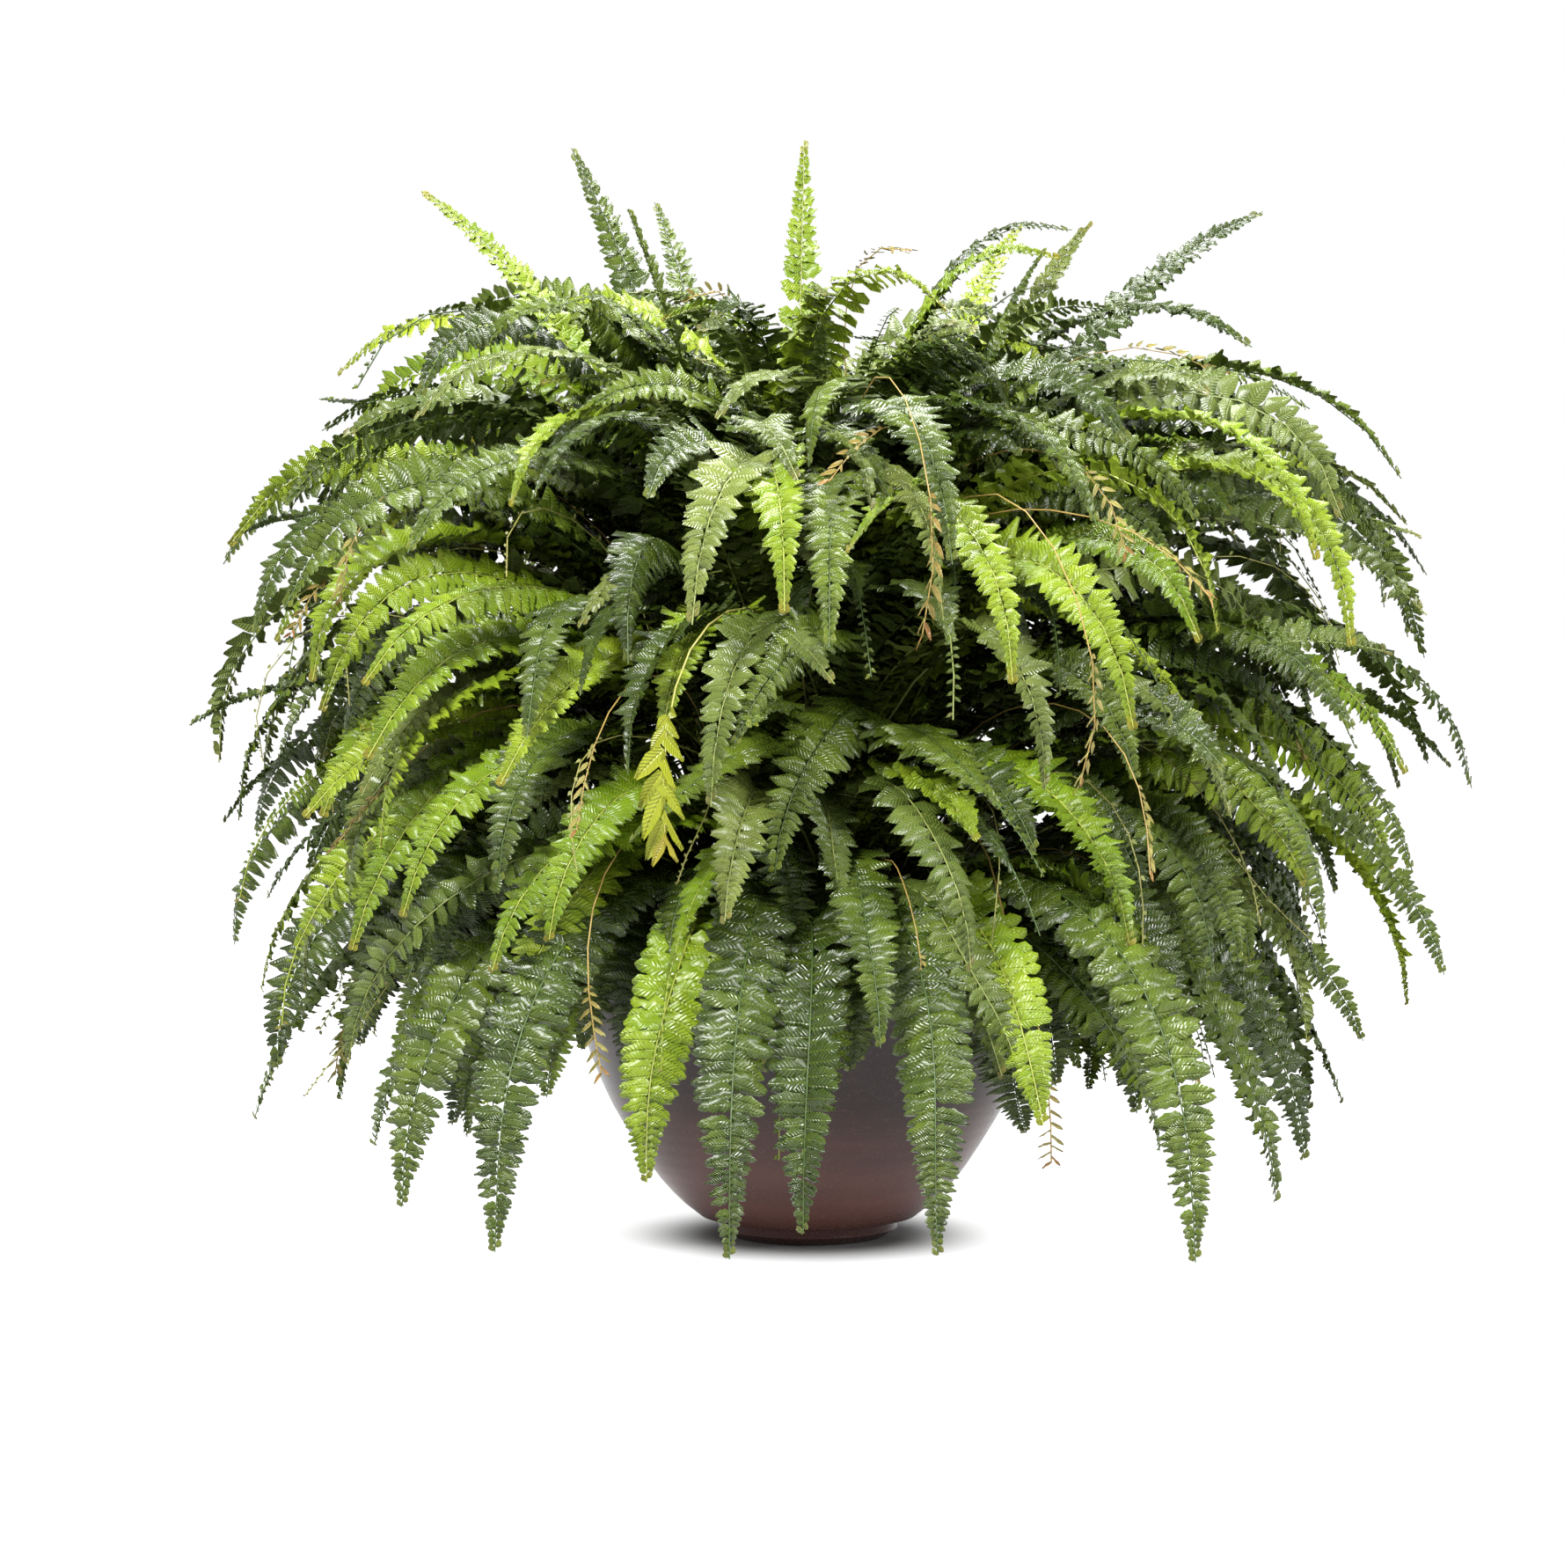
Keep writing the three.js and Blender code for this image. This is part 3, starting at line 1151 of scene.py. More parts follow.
@dataclass
class Dome:
    """The outline that the fronds' tips fill: a broad cushion, drawn in again below its middle.

    shares lists height over the plant's height, and radius over its half width. front_share is the
    plant's depth over its width, and off_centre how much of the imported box's lean it takes. In
    front, within the bearings whose cosine is over window, tips stay high enough to show the pot.
    """

    shares: tuple[tuple[float, float], ...] = (
        (0.14, 0.94), (0.24, 1.0), (0.35, 1.025), (0.47, 1.025), (0.57, 1.01), (0.65, 0.97),
        (0.72, 0.90), (0.77, 0.81), (0.815, 0.70), (0.845, 0.52), (0.865, 0.28), (0.87, 0.05),
    )
    front_share: float = 0.83
    off_centre: float = 0.6
    window: float = 0.72
    window_depth: float = 0.2
    hem_front: float = 0.74
    hem_side: float = 0.46
    hem_top: float = 1.15

    def around(self, radius: float, bearing: float) -> tuple[float, float]:
        """The x and y where a bearing meets the oval of a radius."""
        return radius * math.cos(bearing), self.front_share * radius * math.sin(bearing)

    def at(self, share: float, bearing: float, depth: float) -> np.ndarray:
        """Finds a place on the dome or inside it.

        Args:
            share: 0 at the dome's lower edge and 1 at its top, by area.
            bearing: the compass direction in radians.
            depth: 1 on the dome, less inside it.

        Returns:
            The place.
        """
        low, high = CAD_BOX
        table = np.array(self.shares)
        heights, radii = table[:, 0] * high.z, table[:, 1] * (high.x - low.x) / 2
        slants = np.hypot(np.diff(radii), np.diff(heights))
        area = np.r_[0, np.cumsum((radii[1:] + radii[:-1]) * slants)]
        spot = share * area[-1]
        radius = float(np.interp(spot, area, radii)) * depth
        height = float(np.interp(spot, area, heights))
        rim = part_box("pot")[1].z
        if height > rim:
            height = rim + (height - rim) * (0.35 + 0.65 * depth)
        elif math.cos(bearing + math.pi / 2) > self.window:
            height = max(height, rim * (1.0 - self.window_depth))
        middle = (low.x + high.x) / 2 * self.off_centre
        x, y = self.around(radius, bearing)
        return np.array([middle + x, y, height])

    def hem(self, bearing: float, up: float, out: float) -> np.ndarray:
        """Finds a place in the skirt that hangs round the pot.

        Args:
            bearing: the compass direction in radians.
            up: 0 at the hem and 1 at the pot's rim.
            out: 0 beside the pot and 1 at the dome.

        Returns:
            The place.
        """
        low, high = CAD_BOX
        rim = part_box("pot")[1]
        wide = (high.x - low.x) / 2
        nearest, furthest = rim.x * 1.3, wide * 0.84
        radius = nearest + (furthest - nearest) * out
        lowest = self.hem_front if abs(math.cos(bearing)) < 0.5 else self.hem_side
        height = rim.z * (lowest + (self.hem_top - lowest) * up)
        return np.array([*self.around(radius, bearing), height])


@dataclass(frozen=True)
class FeatureFrond:
    """One listed frond: its tip, its slope there and its look.

    Lengths are in mm and angles in degrees.
    """

    tip: tuple[float, float, float]
    kind: Leafage
    launch: float = 82
    landing: float = -75
    sway: float = 0
    roll: float = 0
    breadth: float = 56


@dataclass
class Foliage:
    """All the fronds: one for each packed frond and more of the same build between them.

    between, skirt and runners count the further fronds. shallow is how far inside the dome a tip
    may end, to_front the turn in radians of a side frond's blade towards the front, and stray how
    much further the astray share of the fronds wanders. own_turn and upright_turn turn the packed
    fronds' blades. bare is how far up a frond its leaflets start, inside the dome and out, and
    late says so for the kinds that start later. bud_tail is the share of a tip with only buds.
    """

    seed: int = 21
    between: int = 390
    skirt: int = 92
    runners: int = 26
    shallow: float = 0.26
    to_front: float = 0.6
    stray: float = 2.4
    astray: float = 0.16
    own_turn: float = 0.45
    late: dict[Leafage, float] = field(
        default_factory=lambda: {Leafage.BROAD: 0.86, Leafage.THREAD: 0.88, Leafage.RUNNER: 0.5}
    )
    upright_turn: float = 1.25
    bare: tuple[float, float] = (0.4, 0.17)
    bud_tail: float = 0.12
    wiry_stalk: float = 0.4
    sectors: int = 6
    own_kinds: tuple[Leafage, ...] = (Leafage.MATURE, Leafage.YOUNG, Leafage.SAGE)
    mixture: dict[Leafage, float] = field(
        default_factory=lambda: {
            Leafage.MATURE: 0.58, Leafage.YOUNG: 0.2, Leafage.SAGE: 0.17, Leafage.THREAD: 0.05}
    )
    features: tuple[FeatureFrond, ...] = (
        FeatureFrond((134, -392, 512), Leafage.YOUNG, 86, -50, -110, 20, 44),
        FeatureFrond((215, -365, 394), Leafage.YOUNG, 86, -82, 0, 60, 52),
        FeatureFrond((214, -345, 248), Leafage.YOUNG, 80, -76, 20, 0, 60),
        FeatureFrond((-102, -372, 168), Leafage.YOUNG, 76, -92, -20, 30, 36),
        FeatureFrond((6, -345, 96), Leafage.MATURE, 74, -92, 10, 0, 60),
        FeatureFrond((-22, -325, 100), Leafage.YOUNG, 74, -88, -10, 0, 46),
        FeatureFrond((143, -395, 296), Leafage.MATURE, 84, -62, 50, -10, 64),
        FeatureFrond((-60, -405, 462), Leafage.SAGE, 88, -86, -20, -12, 58),
        FeatureFrond((-31, -400, 471), Leafage.YOUNG, 88, -84, 20, 35, 58),
        FeatureFrond((12, -395, 447), Leafage.MATURE, 87, -86, 0, 0, 60),
        FeatureFrond((76, -398, 465), Leafage.SAGE, 87, -84, 15, -40, 46),
        FeatureFrond((128, -390, 425), Leafage.YOUNG, 87, -86, 10, 30, 48),
        FeatureFrond((-41, -360, 547), Leafage.MATURE, 88, -58, 95, 15, 58),
        FeatureFrond((-94, -350, 559), Leafage.SAGE, 88, -52, 80, 0, 54),
        FeatureFrond((176, -345, 530), Leafage.MATURE, 88, -70, 20, 0, 56),
        FeatureFrond((-47, -402, 424), Leafage.SAGE, 86, -40, 90, 20, 54),
        FeatureFrond((-325, -190, 596), Leafage.SAGE, 86, -38, -20, -30, 56),
        FeatureFrond((-92, -410, 320), Leafage.MATURE, 84, -45, -95, 0, 56),
        FeatureFrond((444, -160, 470), Leafage.SAGE, 80, -52, 10, 40, 56),
        FeatureFrond((386, -210, 389), Leafage.MATURE, 82, -60, 0, 35, 58),
        FeatureFrond((435, -110, 354), Leafage.YOUNG, 80, -72, 10, 45, 48),
        FeatureFrond((196, -70, 756), Leafage.MATURE, 89, -24, 20, 30, 44),
        FeatureFrond((180, -110, 730), Leafage.YOUNG, 89, -30, 15, 40, 42),
        FeatureFrond((-300, -280, 372), Leafage.YOUNG, 82, -62, -15, -40, 56),
        FeatureFrond((-350, -250, 330), Leafage.YOUNG, 80, -48, -10, -45, 50),
        FeatureFrond((-300, -290, 423), Leafage.YOUNG, 86, -58, -10, -40, 46),
        FeatureFrond((-200, -355, 356), Leafage.YOUNG, 86, -64, -20, -30, 52),
        FeatureFrond((-276, -300, 264), Leafage.YOUNG, 84, -76, -10, -30, 46),
        FeatureFrond((-222, -345, 130), Leafage.YOUNG, 82, -80, -15, -25, 50),
        FeatureFrond((-128, -262, 152), Leafage.MATURE, 76, -88, 0, -10, 54),
        FeatureFrond((-78, -250, 168), Leafage.MATURE, 74, -90, 20, 10, 56),
        FeatureFrond((-30, -240, 150), Leafage.MATURE, 74, -88, 0, 0, 54),
        FeatureFrond((34, -246, 158), Leafage.MATURE, 76, -90, -10, 10, 56),
        FeatureFrond((84, -250, 172), Leafage.SAGE, 74, -88, 10, 0, 50),
        FeatureFrond((130, -246, 150), Leafage.MATURE, 76, -88, 0, 20, 56),
        FeatureFrond((178, -216, 138), Leafage.MATURE, 74, -90, 10, 30, 56),
        FeatureFrond((-182, -206, 128), Leafage.MATURE, 74, -88, 10, -30, 56),
        FeatureFrond((-226, -222, 112), Leafage.MATURE, 72, -86, 0, -30, 58),
        FeatureFrond((232, -214, 118), Leafage.MATURE, 72, -86, 0, 30, 58),
        FeatureFrond((72, -405, 452), Leafage.THREAD, 87, -128, 50, 0, 14),
        FeatureFrond((96, -370, 560), Leafage.THREAD, 88, -40, -70, 0, 13),
        FeatureFrond((17, -190, 722), Leafage.THREAD, 89, -20, 60, 0, 13),
        FeatureFrond((187, -385, 353), Leafage.THREAD, 85, -125, 50, 0, 14),
        FeatureFrond((287, -230, 129), Leafage.THREAD, 74, -92, 20, 0, 15),
        FeatureFrond((120, -330, 93), Leafage.THREAD, 74, -115, -60, 0, 17),
        FeatureFrond((-136, -345, 159), Leafage.THREAD, 76, -95, 30, 0, 16),
        FeatureFrond((-334, -240, 309), Leafage.THREAD, 82, -60, -20, 0, 15),
        FeatureFrond((243, -360, 476), Leafage.THREAD, 86, -60, 30, 0, 16),
        FeatureFrond((-96, -408, 318), Leafage.BROAD, 84, -98, 10, 20, 36),
    )
    lengths: tuple[float, ...] = (0.42, 0.56)
    finishes: dict[Leafage, FernLeaf] = field(
        default_factory=lambda: {
            Leafage.MATURE: FernLeaf(
                "fern_leaf_mature_waxy", "#0f1907", "#28390f", "#677a22", "#8e9438"),
            Leafage.YOUNG: FernLeaf(
                "fern_leaf_young_soft", "#3e5c0e", "#678414", "#98aa2c", "#a08030", passing=0.2),
            Leafage.SAGE: FernLeaf(
                "fern_leaf_sage_soft", "#2c3f14", "#4e6024", "#7c8840", "#9c8648", passing=0.18),
            Leafage.THREAD: FernLeaf(
                "fern_leaf_dry_thread", "#8a5a34", "#94803c", "#a8a058", "#b0603a", passing=0.1),
            Leafage.RUNNER: FernLeaf(
                "fern_leaf_runner_bud", "#6f7a34", "#8f9a4c", "#b9b878", "#8f7a44", passing=0.1),
            Leafage.BROAD: FernLeaf(
                "fern_leaf_yellowing", "#7c8a18", "#97a022", "#b0ae40", "#a07030", passing=0.25),
        }
    )
    habits: dict[Leafage, LeafletHabit] = field(
        default_factory=lambda: {
            Leafage.MATURE: LeafletHabit(58 * MM, 0.42, 0.64, 86, 0.12, -0.5, 0.14, 0.42, 2.4),
            Leafage.YOUNG: LeafletHabit(54 * MM, 0.46, 0.64, 84, 0.08, -0.4, 0.16, 0.5, 2.5),
            Leafage.SAGE: LeafletHabit(52 * MM, 0.52, 0.92, 78, 0.08, -0.3, 0.12, 0.3, 2.7),
            Leafage.THREAD: LeafletHabit(15 * MM, 0.42, 3.2, 62, 0.0, 0.25, 0.1, 0.2, 2.6),
            Leafage.RUNNER: LeafletHabit(8 * MM, 0.5, 15, 50, 0.0, 0.25, 0.1, 0.2, 3.0),
            Leafage.BROAD: LeafletHabit(34 * MM, 0.60, 1.3, 56, 0.1, 0.25, 0.04, 0.12, 2.2),
        }
    )
    stalks: dict[Leafage, FernStalk] = field(
        default_factory=lambda: {
            Leafage.MATURE: FernStalk("fern_stalk_green", "#3a2a18", "#3c5520"),
            Leafage.YOUNG: FernStalk("fern_stalk_light", "#5a4424", "#8f9c38"),
            Leafage.SAGE: FernStalk("fern_stalk_sage", "#4c3c22", "#76823f"),
            Leafage.THREAD: FernStalk("fern_stalk_rust", "#6b5228", "#9c8444"),
            Leafage.RUNNER: FernStalk("fern_runner_wiry", "#6b5a30", "#8a8a48"),
            Leafage.BROAD: FernStalk("fern_stalk_yellow", "#6a4f2c", "#9c9a50"),
        }
    )
    groups: dict[tuple[Leafage, int], list[bpy.types.Object]] = field(default_factory=dict)
    materials: dict[Leafage, tuple[bpy.types.Material, bpy.types.Material]] = field(
        default_factory=dict)

    def patterns(self, kind: Leafage, inner: bool) -> list[StraightFrond]:
        """Models the straight fronds of one kind.

        Args:
            kind: the leafage.
            inner: True for the fronds between, whose lower part is bare and hidden.

        Returns:
            The straight fronds, shorter ones first.
        """
        habit = self.habits[kind]
        leaf, stalk = self.materials[kind]
        rows = 3 if kind.wiry or inner else 6
        leaflets = Leaflets(habit, leaf, rows).build()
        thin = self.wiry_stalk if kind.wiry else 1.0
        bare = self.late.get(kind, self.bare[0] if inner else self.bare[1])
        tails = (0.0, self.bud_tail if inner and not kind.wiry else 0.0)
        out = []
        for i, length in enumerate(self.lengths):
            for j, tail in enumerate(tails):
                out.append(StraightFrond(
                    leaflets, stalk, length, bare, 100 * i + 10 * j + inner, tail,
                    full_from=bare + 0.16 * (1 - bare),
                    narrows_from=max(0.66, bare + 0.1),
                    least_width=(2.4 if kind.wiry else 6.2) * MM,
                    stalk_root=2.1 * MM * thin, stalk_tip=0.5 * MM).build())
        return out

    def best(self, patterns: list[StraightFrond], line: FrondLine,
             rng: random.Random) -> StraightFrond:
        """Picks a straight frond near a line's length, most often one with no bare tail.

        Args:
            patterns: the straight fronds of its kind.
            line: the line to fill.
            rng: where the pick comes from.

        Returns:
            The straight frond.
        """
        near = min(abs(p.length - line.length) for p in patterns)
        fit = [p for p in patterns if abs(p.length - line.length) < near + 1 * MM]
        return rng.choice([*fit, *[p for p in fit if not p.tail] * 5])

    def kind_of(self, node: str) -> Leafage:
        """The leafage that a packed frond's name states."""
        return Leafage[node.rsplit("_", 1)[1].upper()]

    def crown_root(self, rng: random.Random, bearing: float, far: float) -> np.ndarray:
        """Picks a root on the crown.

        Args:
            rng: where its scatter comes from.
            bearing: the direction that its frond leaves in.
            far: how far out it stands, over the crown's radius.

        Returns:
            The root's place.
        """
        low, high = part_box("crown")
        radius = high.x * min(0.9, max(0.05, far + rng.uniform(-0.15, 0.15)))
        turn = bearing + rng.gauss(0, 0.5)
        height = low.z + (high.z - low.z) * (1 - (radius / high.x) ** 2) - 2 * MM
        return np.array([radius * math.cos(turn), radius * math.sin(turn), height])

    def between_lines(self, rng: random.Random) -> list[FrondLine]:
        """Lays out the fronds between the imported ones, tips spread evenly over the dome.

        Args:
            rng: where their variety comes from.

        Returns:
            The lines.
        """
        dome, lines = Dome(), []
        for i in range(self.between):
            share = (i + 0.5) / self.between
            bearing = (i * GOLDEN_TURN + rng.gauss(0, 0.12)) % math.tau
            tip = dome.at(share, bearing, 1 - self.shallow * rng.random() ** 1.3)
            kind = rng.choices(list(self.mixture), list(self.mixture.values()))[0]
            launch = math.radians(66 + 22 * min(1.0, share * 1.8) + rng.uniform(-6, 3))
            above = max(0.0, share - 0.5) / 0.5
            landing = math.radians(-86 + 44 * above + rng.uniform(-8, 18 + 60 * above))
            root = self.crown_root(rng, bearing, 0.85 - 0.7 * share)
            lines.append(self.sent(f"between_{i + 1:03d}", kind, rng, root, tip, launch, landing))
        for i in range(self.skirt):
            bearing = (i * GOLDEN_TURN + rng.gauss(0, 0.1)) % math.tau
            tip = dome.hem(bearing, rng.random(), rng.random() ** (1.1 if i % 3 else 4))
            kind = Leafage.YOUNG if rng.random() < 0.12 else Leafage.MATURE
            launch = math.radians(rng.uniform(58, 80))
            landing = math.radians(rng.uniform(-96, -72))
            root = self.crown_root(rng, bearing, 0.6)
            lines.append(self.sent(f"skirt_{i + 1:03d}", kind, rng, root, tip, launch, landing))
        for i in range(self.runners):
            bearing, share = (i * GOLDEN_TURN + 1) % math.tau, rng.uniform(0.0, 0.7)
            tip = dome.at(share, bearing, rng.uniform(0.72, 0.98))
            root = self.crown_root(rng, bearing, 0.8)
            launch = math.radians(rng.uniform(60, 84))
            landing = math.radians(rng.uniform(-110, -60))
            line = self.sent(f"runner_{i + 1:02d}", Leafage.RUNNER, rng, root, tip, launch, landing)
            lines.append(line.livened(rng, 0, 7 * MM))
        return lines

    def sent(self, name: str, kind: Leafage, rng: random.Random, root: np.ndarray, tip: np.ndarray,
             launch: float, landing: float) -> FrondLine:
        """Sends one frond from a root to a tip, rolled a little towards the front of the plant.

        Args:
            name: its name.
            kind: its leafage.
            rng: where its sway, roll and width come from.
            root: where it starts.
            tip: where it ends.
            launch: its slope at the root in radians.
            landing: its slope at the tip in radians.

        Returns:
            The frond's line.
        """
        bearing = math.atan2(tip[1], tip[0])
        to_front = self.to_front * math.cos(bearing) * (1 if math.sin(bearing) < 0.3 else 0.3)
        stray = self.stray if rng.random() < self.astray else 1
        sway, roll = rng.gauss(0, 0.65) * stray, to_front + rng.gauss(0, 0.6) * stray**0.5
        arch = Arch(root, tip, launch, landing, sway, roll)
        line = FrondLine.arch(name, kind, arch, self.habits[kind].breadth * rng.uniform(0.8, 1.04))
        return line.livened(rng, 0, 3 * MM)

    def feature_lines(self, rng: random.Random) -> list[FrondLine]:
        """Lays out the listed fronds.

        Args:
            rng: where their roots' scatter comes from.

        Returns:
            The lines.
        """
        lines = []
        for i, each in enumerate(self.features):
            tip = np.array(each.tip) * MM
            bearing = math.atan2(tip[1], tip[0])
            arch = Arch(
                self.crown_root(rng, bearing, 0.45), tip, math.radians(each.launch),
                math.radians(each.landing), math.radians(each.sway), math.radians(each.roll))
            line = FrondLine.arch(f"feature_{i + 1:02d}", each.kind, arch, each.breadth * MM)
            lines.append(line.livened(random.Random(i), 0, (9 if each.kind.wiry else 2) * MM))
        return lines

    def build(self) -> list[bpy.types.Object]:
        """Builds every frond and puts it on its body.

        Returns:
            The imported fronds' pieces, then the tufts.
        """
        rng = random.Random(self.seed)
        pieces = []
        self.materials = {
            kind: (self.finishes[kind].material(), self.stalks[kind].material())
            for kind in Leafage}
        outer = {kind: self.patterns(kind, False) for kind in self.own_kinds}
        inner = {kind: self.patterns(kind, True) for kind in Leafage}
        nodes = {n: o for n, o in sorted(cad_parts.items()) if "frond" in n}
        for name, node in nodes.items():
            line = FrondLine.read(node, self.kind_of(name))
            line.name = "leafy_" + name
            bearing = math.atan2(line.points[-1][1], line.points[-1][0])
            share = self.upright_turn if name.startswith("upright") else self.own_turn
            line.livened(rng, share * math.cos(bearing), 2 * MM)
            frond = self.best(outer[line.kind], line, rng).grown(line, rng)
            self.settle(frond)
            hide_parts(name)
            pieces.append(frond)
        features, others = self.feature_lines(rng), self.between_lines(rng)
        for line in [*features, *others]:
            frond = self.best(inner[line.kind], line, rng).grown(line, rng)
            middle = line.points[len(line.points) // 2]
            turned = math.atan2(middle[1], middle[0]) % math.tau
            sector = int(turned / (math.tau / self.sectors))
            self.groups.setdefault((line.kind, sector), []).append(frond)
        by_name = sorted(self.groups.items(), key=lambda group: (group[0][0].name, group[0][1]))
        for (kind, sector), fronds in by_name:
            tuft = joined(f"tuft_{kind.name.lower()}_{sector + 1}", fronds)
            self.settle(tuft)
            pieces.append(tuft)
        counts = len(nodes), len(features), len(others)
        LOG.info("fronds: %d packed, %d by hand, %d between", *counts)
        return pieces

    def settle(self, piece: bpy.types.Object) -> None:
        """Puts a piece on its body."""
        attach(piece, BODY)


# ---------------------------------------------------------------- pot, compost, crown


@dataclass
class Pot:
    """The glazed bowl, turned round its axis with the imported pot's own wall and lip."""

    node: str = "pot"
    facets: int = 96
    finish: GlazedStoneware = field(
        default_factory=lambda: GlazedStoneware(
            "stoneware_iron_glaze", "#281c1b", "#55332c", "#6a544c", lip_height=0.2))
    thinnest: float = 1 * MM

    def profile(self) -> list[tuple[float, float]]:
        """Reads the bowl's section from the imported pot.

        Returns:
            Radius and height of each ring, up the outside, over the lip and down the inside.
        """
        places = corners(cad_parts[self.node])
        rings: dict[float, set[float]] = {}
        for x, y, z in places:
            rings.setdefault(round(float(z), 5), set()).add(round(math.hypot(x, y), 4))
        heights = sorted(rings)
        outside = [(max(rings[z]), z) for z in heights]
        hollow = [z for z in heights if len(rings[z]) > 1]
        inside = [(min(r for r in rings[z] if r > self.thinnest), z) for z in hollow]
        inside = [(r, z) for r, z in inside if r < max(rings[z]) - self.thinnest]
        return [*outside, *reversed(inside)]

    def build(self) -> bpy.types.Object:
        """Draws the section up from the foot ring by ring, over the lip and down the inside.

        Returns:
            The finished pot.
        """
        rings = self.profile()
        deselect()
        bpy.ops.mesh.primitive_circle_add(
            vertices=self.facets, radius=rings[0][0], fill_type="NGON")
        pot = added("glazed_pot")
        in_edit_mode(pot)
        now = rings[0]
        for radius, height in rings[1:]:
            bpy.ops.mesh.extrude_region_move(
                TRANSFORM_OT_translate={"value": (0, 0, height - now[1])})
            grow = radius / now[0]
            bpy.ops.transform.resize(value=(grow, grow, 1), center_override=(0, 0, height))
            now = (radius, height)
        bpy.ops.mesh.select_all(action="SELECT")
        bpy.ops.mesh.normals_make_consistent(inside=False)
        done()
        apply_modifier(pot, "SUBSURF", levels=1, render_levels=1, subdivision_type="SIMPLE")
        smooth(pot, 50)
        pot.data.materials.append(self.finish.material())
        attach(pot, BODY)
        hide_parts(self.node)
        return pot


@dataclass
class Compost:
    """The compost: a crumbly surface just below the lip, with loose crumbs lying on it."""

    node: str = "potting_soil"
    facets: int = 72
    rings: int = 20
    crumbs: int = 200
    seed: int = 8
    finish: Earth = field(
        default_factory=lambda: Earth("peat_compost_damp", "#17100b", "#33241a", "#6b5236", 3.0))

    def build(self) -> bpy.types.Object:
        """Builds the compost and its crumbs.

        Returns:
            The finished compost.
        """
        rng = random.Random(self.seed)
        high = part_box(self.node)[1]
        radius, top = high.x, high.z
        deselect()
        bpy.ops.mesh.primitive_cylinder_add(
            vertices=self.facets, radius=radius, depth=18 * MM, location=(0, 0, top - 9 * MM),
            end_fill_type="NGON")
        earth = added("compost_surface")
        bpy.ops.object.transform_apply(location=True, rotation=True, scale=True)
        in_edit_mode(earth, "DESELECT")
        done()
        for face in earth.data.polygons:
            face.select = face.normal.z > 0.9
        bpy.ops.object.mode_set(mode="EDIT")
        for _ in range(self.rings):
            bpy.ops.mesh.inset(thickness=radius / (self.rings + 2), depth=0)
        bpy.ops.mesh.poke()
        done()
        places = corners(earth)
        for place in places:
            if place[2] > top - 1 * MM and math.hypot(place[0], place[1]) < radius * 0.995:
                place[2] += rng.uniform(-2.6, 1.4) * MM
        set_corners(earth, places)
        smooth(earth, 60)
        crumb = self.crumb(rng)
        copies = []
        for _ in range(self.crumbs):
            copy = crumb.copy()
            copy.data = crumb.data.copy()
            size = rng.uniform(1.2, 3.6) * MM
            turn, far = rng.uniform(0, math.tau), radius * math.sqrt(rng.uniform(0.25, 0.93))
            copy.data.transform(
                Matrix.Translation((far * math.cos(turn), far * math.sin(turn), top + size * 0.2))
                @ Matrix.Rotation(rng.uniform(0, 3), 4, (rng.random(), rng.random(), 1))
                @ Matrix.Scale(size, 4))
            bpy.context.scene.collection.objects.link(copy)
            copies.append(copy)
        bpy.data.objects.remove(crumb)
        earth = joined("compost_surface", [earth, *copies])
        earth.data.materials.clear()
        earth.data.materials.append(self.finish.material())
        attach(earth, BODY)
        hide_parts(self.node)
        return earth

    def crumb(self, rng: random.Random) -> bpy.types.Object:
        """Models one crumb: a small ball, broken by pushed corners and flattened.

        Args:
            rng: where its lumps come from.

        Returns:
            The crumb, about 2 m across until it is scaled.
        """
        deselect()
        bpy.ops.mesh.primitive_ico_sphere_add(subdivisions=1, radius=1)
        crumb = added("crumb")
        places = corners(crumb)
        pushes = np.array([rng.uniform(0.72, 1.14) for _ in places])
        set_corners(crumb, places * pushes[:, None] * np.array([1, 0.8, 0.6]))
        return smooth(crumb, 50)


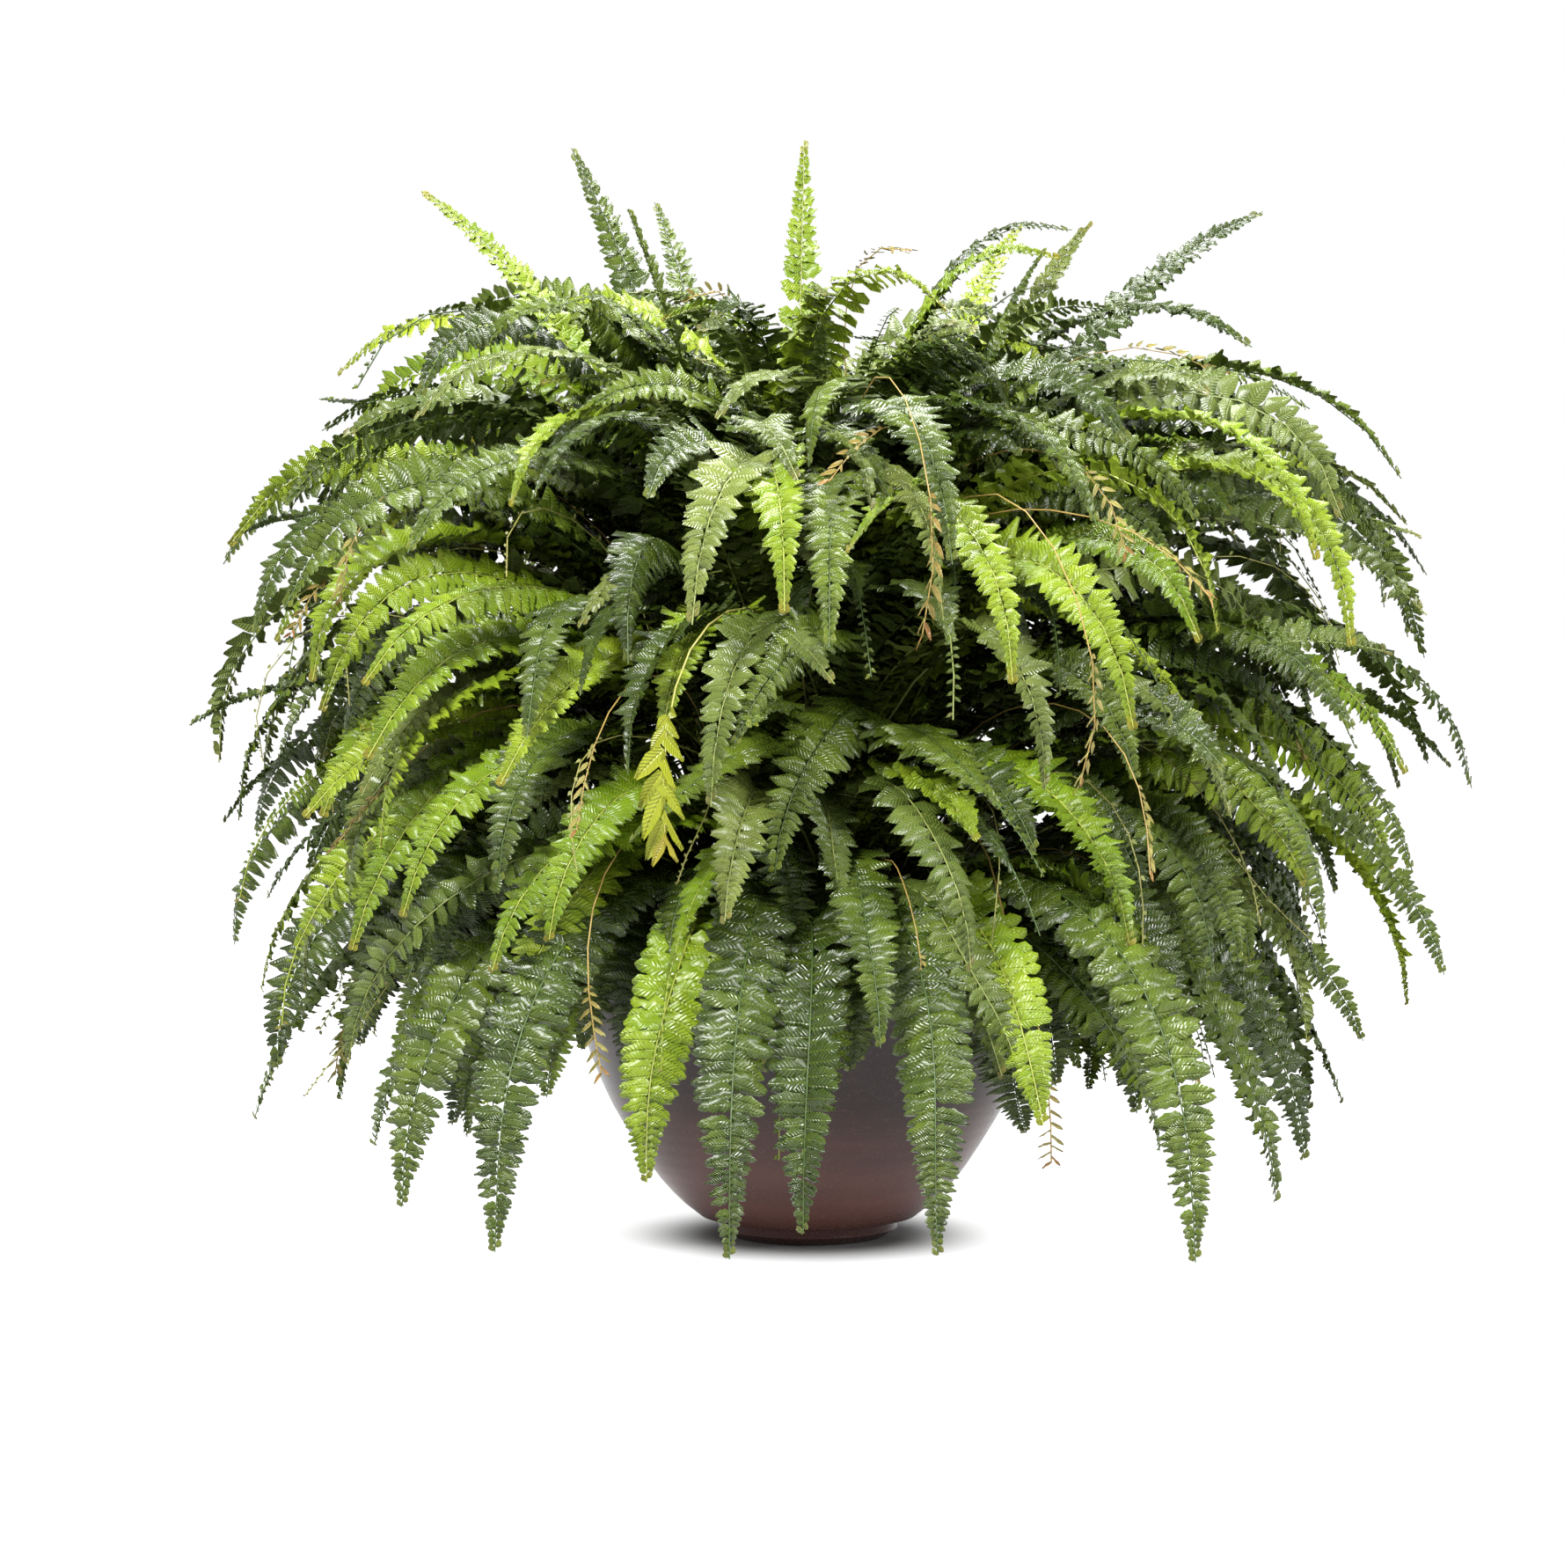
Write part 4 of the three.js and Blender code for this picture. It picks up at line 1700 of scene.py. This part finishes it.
@dataclass
class Crown:
    """The crown: a fibrous mound with the stubs of old stalks standing in it."""

    node: str = "crown"
    stubs: int = 90
    seed: int = 4
    finish: Earth = field(
        default_factory=lambda: Earth("fern_root_fibre", "#2a1c10", "#4e3820", "#8a6a3c", 2.0))

    def build(self) -> bpy.types.Object:
        """Builds the mound and its stubs.

        Returns:
            The finished crown.
        """
        rng = random.Random(self.seed)
        low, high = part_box(self.node)
        radius, tall = high.x, high.z - low.z
        deselect()
        bpy.ops.mesh.primitive_ico_sphere_add(subdivisions=5, radius=1)
        mound = added("crown_mound")
        squashed = Matrix.Diagonal((radius, radius, tall, 1))
        mound.data.transform(Matrix.Translation((0, 0, low.z)) @ squashed)
        in_edit_mode(mound)
        bpy.ops.mesh.bisect(
            plane_co=(0, 0, low.z), plane_no=(0, 0, 1), use_fill=True, clear_inner=True)
        done()
        places = corners(mound)
        for place in places:
            if place[2] > low.z + 1 * MM:
                place[2] += rng.uniform(-1.8, 0.6) * MM
        set_corners(mound, places)
        smooth(mound, 70)
        stub = self.stub(rng)
        copies = []
        for _ in range(self.stubs):
            copy = stub.copy()
            copy.data = stub.data.copy()
            turn, far = rng.uniform(0, math.tau), radius * math.sqrt(rng.uniform(0.0, 0.8))
            height = low.z + tall * (1 - (far / radius) ** 2) * 0.9
            side = Vector((-math.sin(turn), math.cos(turn), 0))
            lean = Matrix.Rotation(0.9 * far / radius + rng.uniform(-0.2, 0.2), 4, side)
            copy.data.transform(
                Matrix.Translation((far * math.cos(turn), far * math.sin(turn), height))
                @ lean
                @ Matrix.Diagonal((2.4 * MM, 2.4 * MM, rng.uniform(12, 34) * MM, 1)))
            bpy.context.scene.collection.objects.link(copy)
            copies.append(copy)
        bpy.data.objects.remove(stub)
        mound = joined("crown_mound", [mound, *copies])
        mound.data.materials.clear()
        mound.data.materials.append(self.finish.material())
        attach(mound, BODY)
        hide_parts(self.node)
        return mound

    def stub(self, rng: random.Random) -> bpy.types.Object:
        """Models one cut stalk: a tapered stem, ringed, bent a little and hollow at its cut end.

        Args:
            rng: where its crookedness comes from.

        Returns:
            The stub, 1 m tall until it is scaled.
        """
        deselect()
        bpy.ops.mesh.primitive_cone_add(
            vertices=7, radius1=1, radius2=0.6, depth=1, end_fill_type="NGON")
        stub = added("stub")
        in_edit_mode(stub, "DESELECT")
        done()
        for face in stub.data.polygons:
            face.select = face.normal.z > 0.9
        bpy.ops.object.mode_set(mode="EDIT")
        bpy.ops.mesh.inset(thickness=0.15, depth=0)
        bpy.ops.mesh.inset(thickness=0.05, depth=-0.06)
        done()
        for edge in stub.data.edges:
            a, b = (stub.data.vertices[i].co.z for i in edge.vertices)
            edge.select = abs(a - b) > 0.5
        bpy.ops.object.mode_set(mode="EDIT")
        bpy.ops.mesh.subdivide(number_cuts=2)
        done()
        places = corners(stub)
        sideways = np.array([rng.uniform(0.88, 1.12) for _ in places])
        places[:, :2] *= sideways[:, None]
        places[:, 0] += 0.5 * (places[:, 2] + 0.5) ** 2
        set_corners(stub, places)
        return smooth(stub, 50)


# ---------------------------------------------------------------- studio


@dataclass(frozen=True)
class Softbox:
    """A square softbox: its name, its place, its side in metres and its power in watts."""

    name: str
    place: tuple[float, float, float]
    size: float
    watts: float


@dataclass
class Studio:
    """White paper floor, soft lights and the camera."""

    eye: tuple[float, float, float] = (0.0, -3.0, 0.475)
    aim: tuple[float, float, float] = (-0.020, 0.0, 0.343)
    lens: float = 91.1
    lit: tuple[float, float, float] = (0.0, 0.0, 0.4)
    floor_size: float = 120.0
    sky: float = 0.35
    softboxes: tuple[Softbox, ...] = (
        Softbox("key", (-1.2, -2.2, 2.4), 0.7, 190),
        Softbox("fill", (2.0, -1.9, 1.7), 0.7, 90),
        Softbox("top", (0.2, 0.4, 2.6), 0.9, 100),
    )

    def build(self) -> None:
        """Builds the floor, lights and camera."""
        deselect()
        bpy.ops.mesh.primitive_plane_add(size=self.floor_size)
        floor = added("studio_floor")
        in_edit_mode(floor)
        bpy.ops.mesh.subdivide(number_cuts=6)
        done()
        floor.data.materials.append(StudioPaper().material())
        world = bpy.data.worlds.new("studio")
        bpy.context.scene.world = world
        world.use_nodes = True
        tree = world.node_tree
        # The sky looks white, and lights the plant with less than that.
        seen = tree.nodes.new("ShaderNodeLightPath").outputs["Is Camera Ray"]
        strength = tree.nodes.new("ShaderNodeMapRange")
        strength.inputs[3].default_value = self.sky
        tree.links.new(seen, strength.inputs[0])
        tree.nodes["Background"].inputs[0].default_value = (1, 1, 1, 1)
        tree.links.new(strength.outputs[0], tree.nodes["Background"].inputs[1])
        for softbox in self.softboxes:
            self.hang(softbox)
        data = bpy.data.cameras.new("camera")
        data.sensor_fit = "HORIZONTAL"
        data.lens = self.lens
        camera = bpy.data.objects.new("camera", data)
        camera.location = self.eye
        camera.rotation_euler = self.facing(self.eye, self.aim)
        bpy.context.scene.collection.objects.link(camera)
        bpy.context.scene.camera = camera
        bpy.context.scene.view_settings.view_transform = "Standard"

    @staticmethod
    def facing(place: tuple[float, float, float], target: tuple[float, float, float]) -> Euler:
        """The turn that points a light or a camera from its place at a target."""
        return (Vector(target) - Vector(place)).to_track_quat("-Z", "Y").to_euler()

    def hang(self, softbox: Softbox) -> None:
        """Hangs a softbox aimed at the plant.

        Args:
            softbox: what to hang, and where.
        """
        data = bpy.data.lights.new(softbox.name, "AREA")
        data.size = softbox.size
        data.energy = softbox.watts
        light = bpy.data.objects.new(softbox.name, data)
        light.location = softbox.place
        light.rotation_euler = self.facing(softbox.place, self.lit)
        bpy.context.scene.collection.objects.link(light)


def main() -> None:
    """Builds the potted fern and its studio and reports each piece."""
    logging.basicConfig(level=logging.INFO, format="%(name)s: %(message)s")
    for piece in (Pot().build(), Compost().build(), Crown().build(), *Foliage().build()):
        LOG.info("%s: %d faces", piece.name, len(piece.data.polygons))
    Studio().build()


if __name__ == "__main__":
    main()
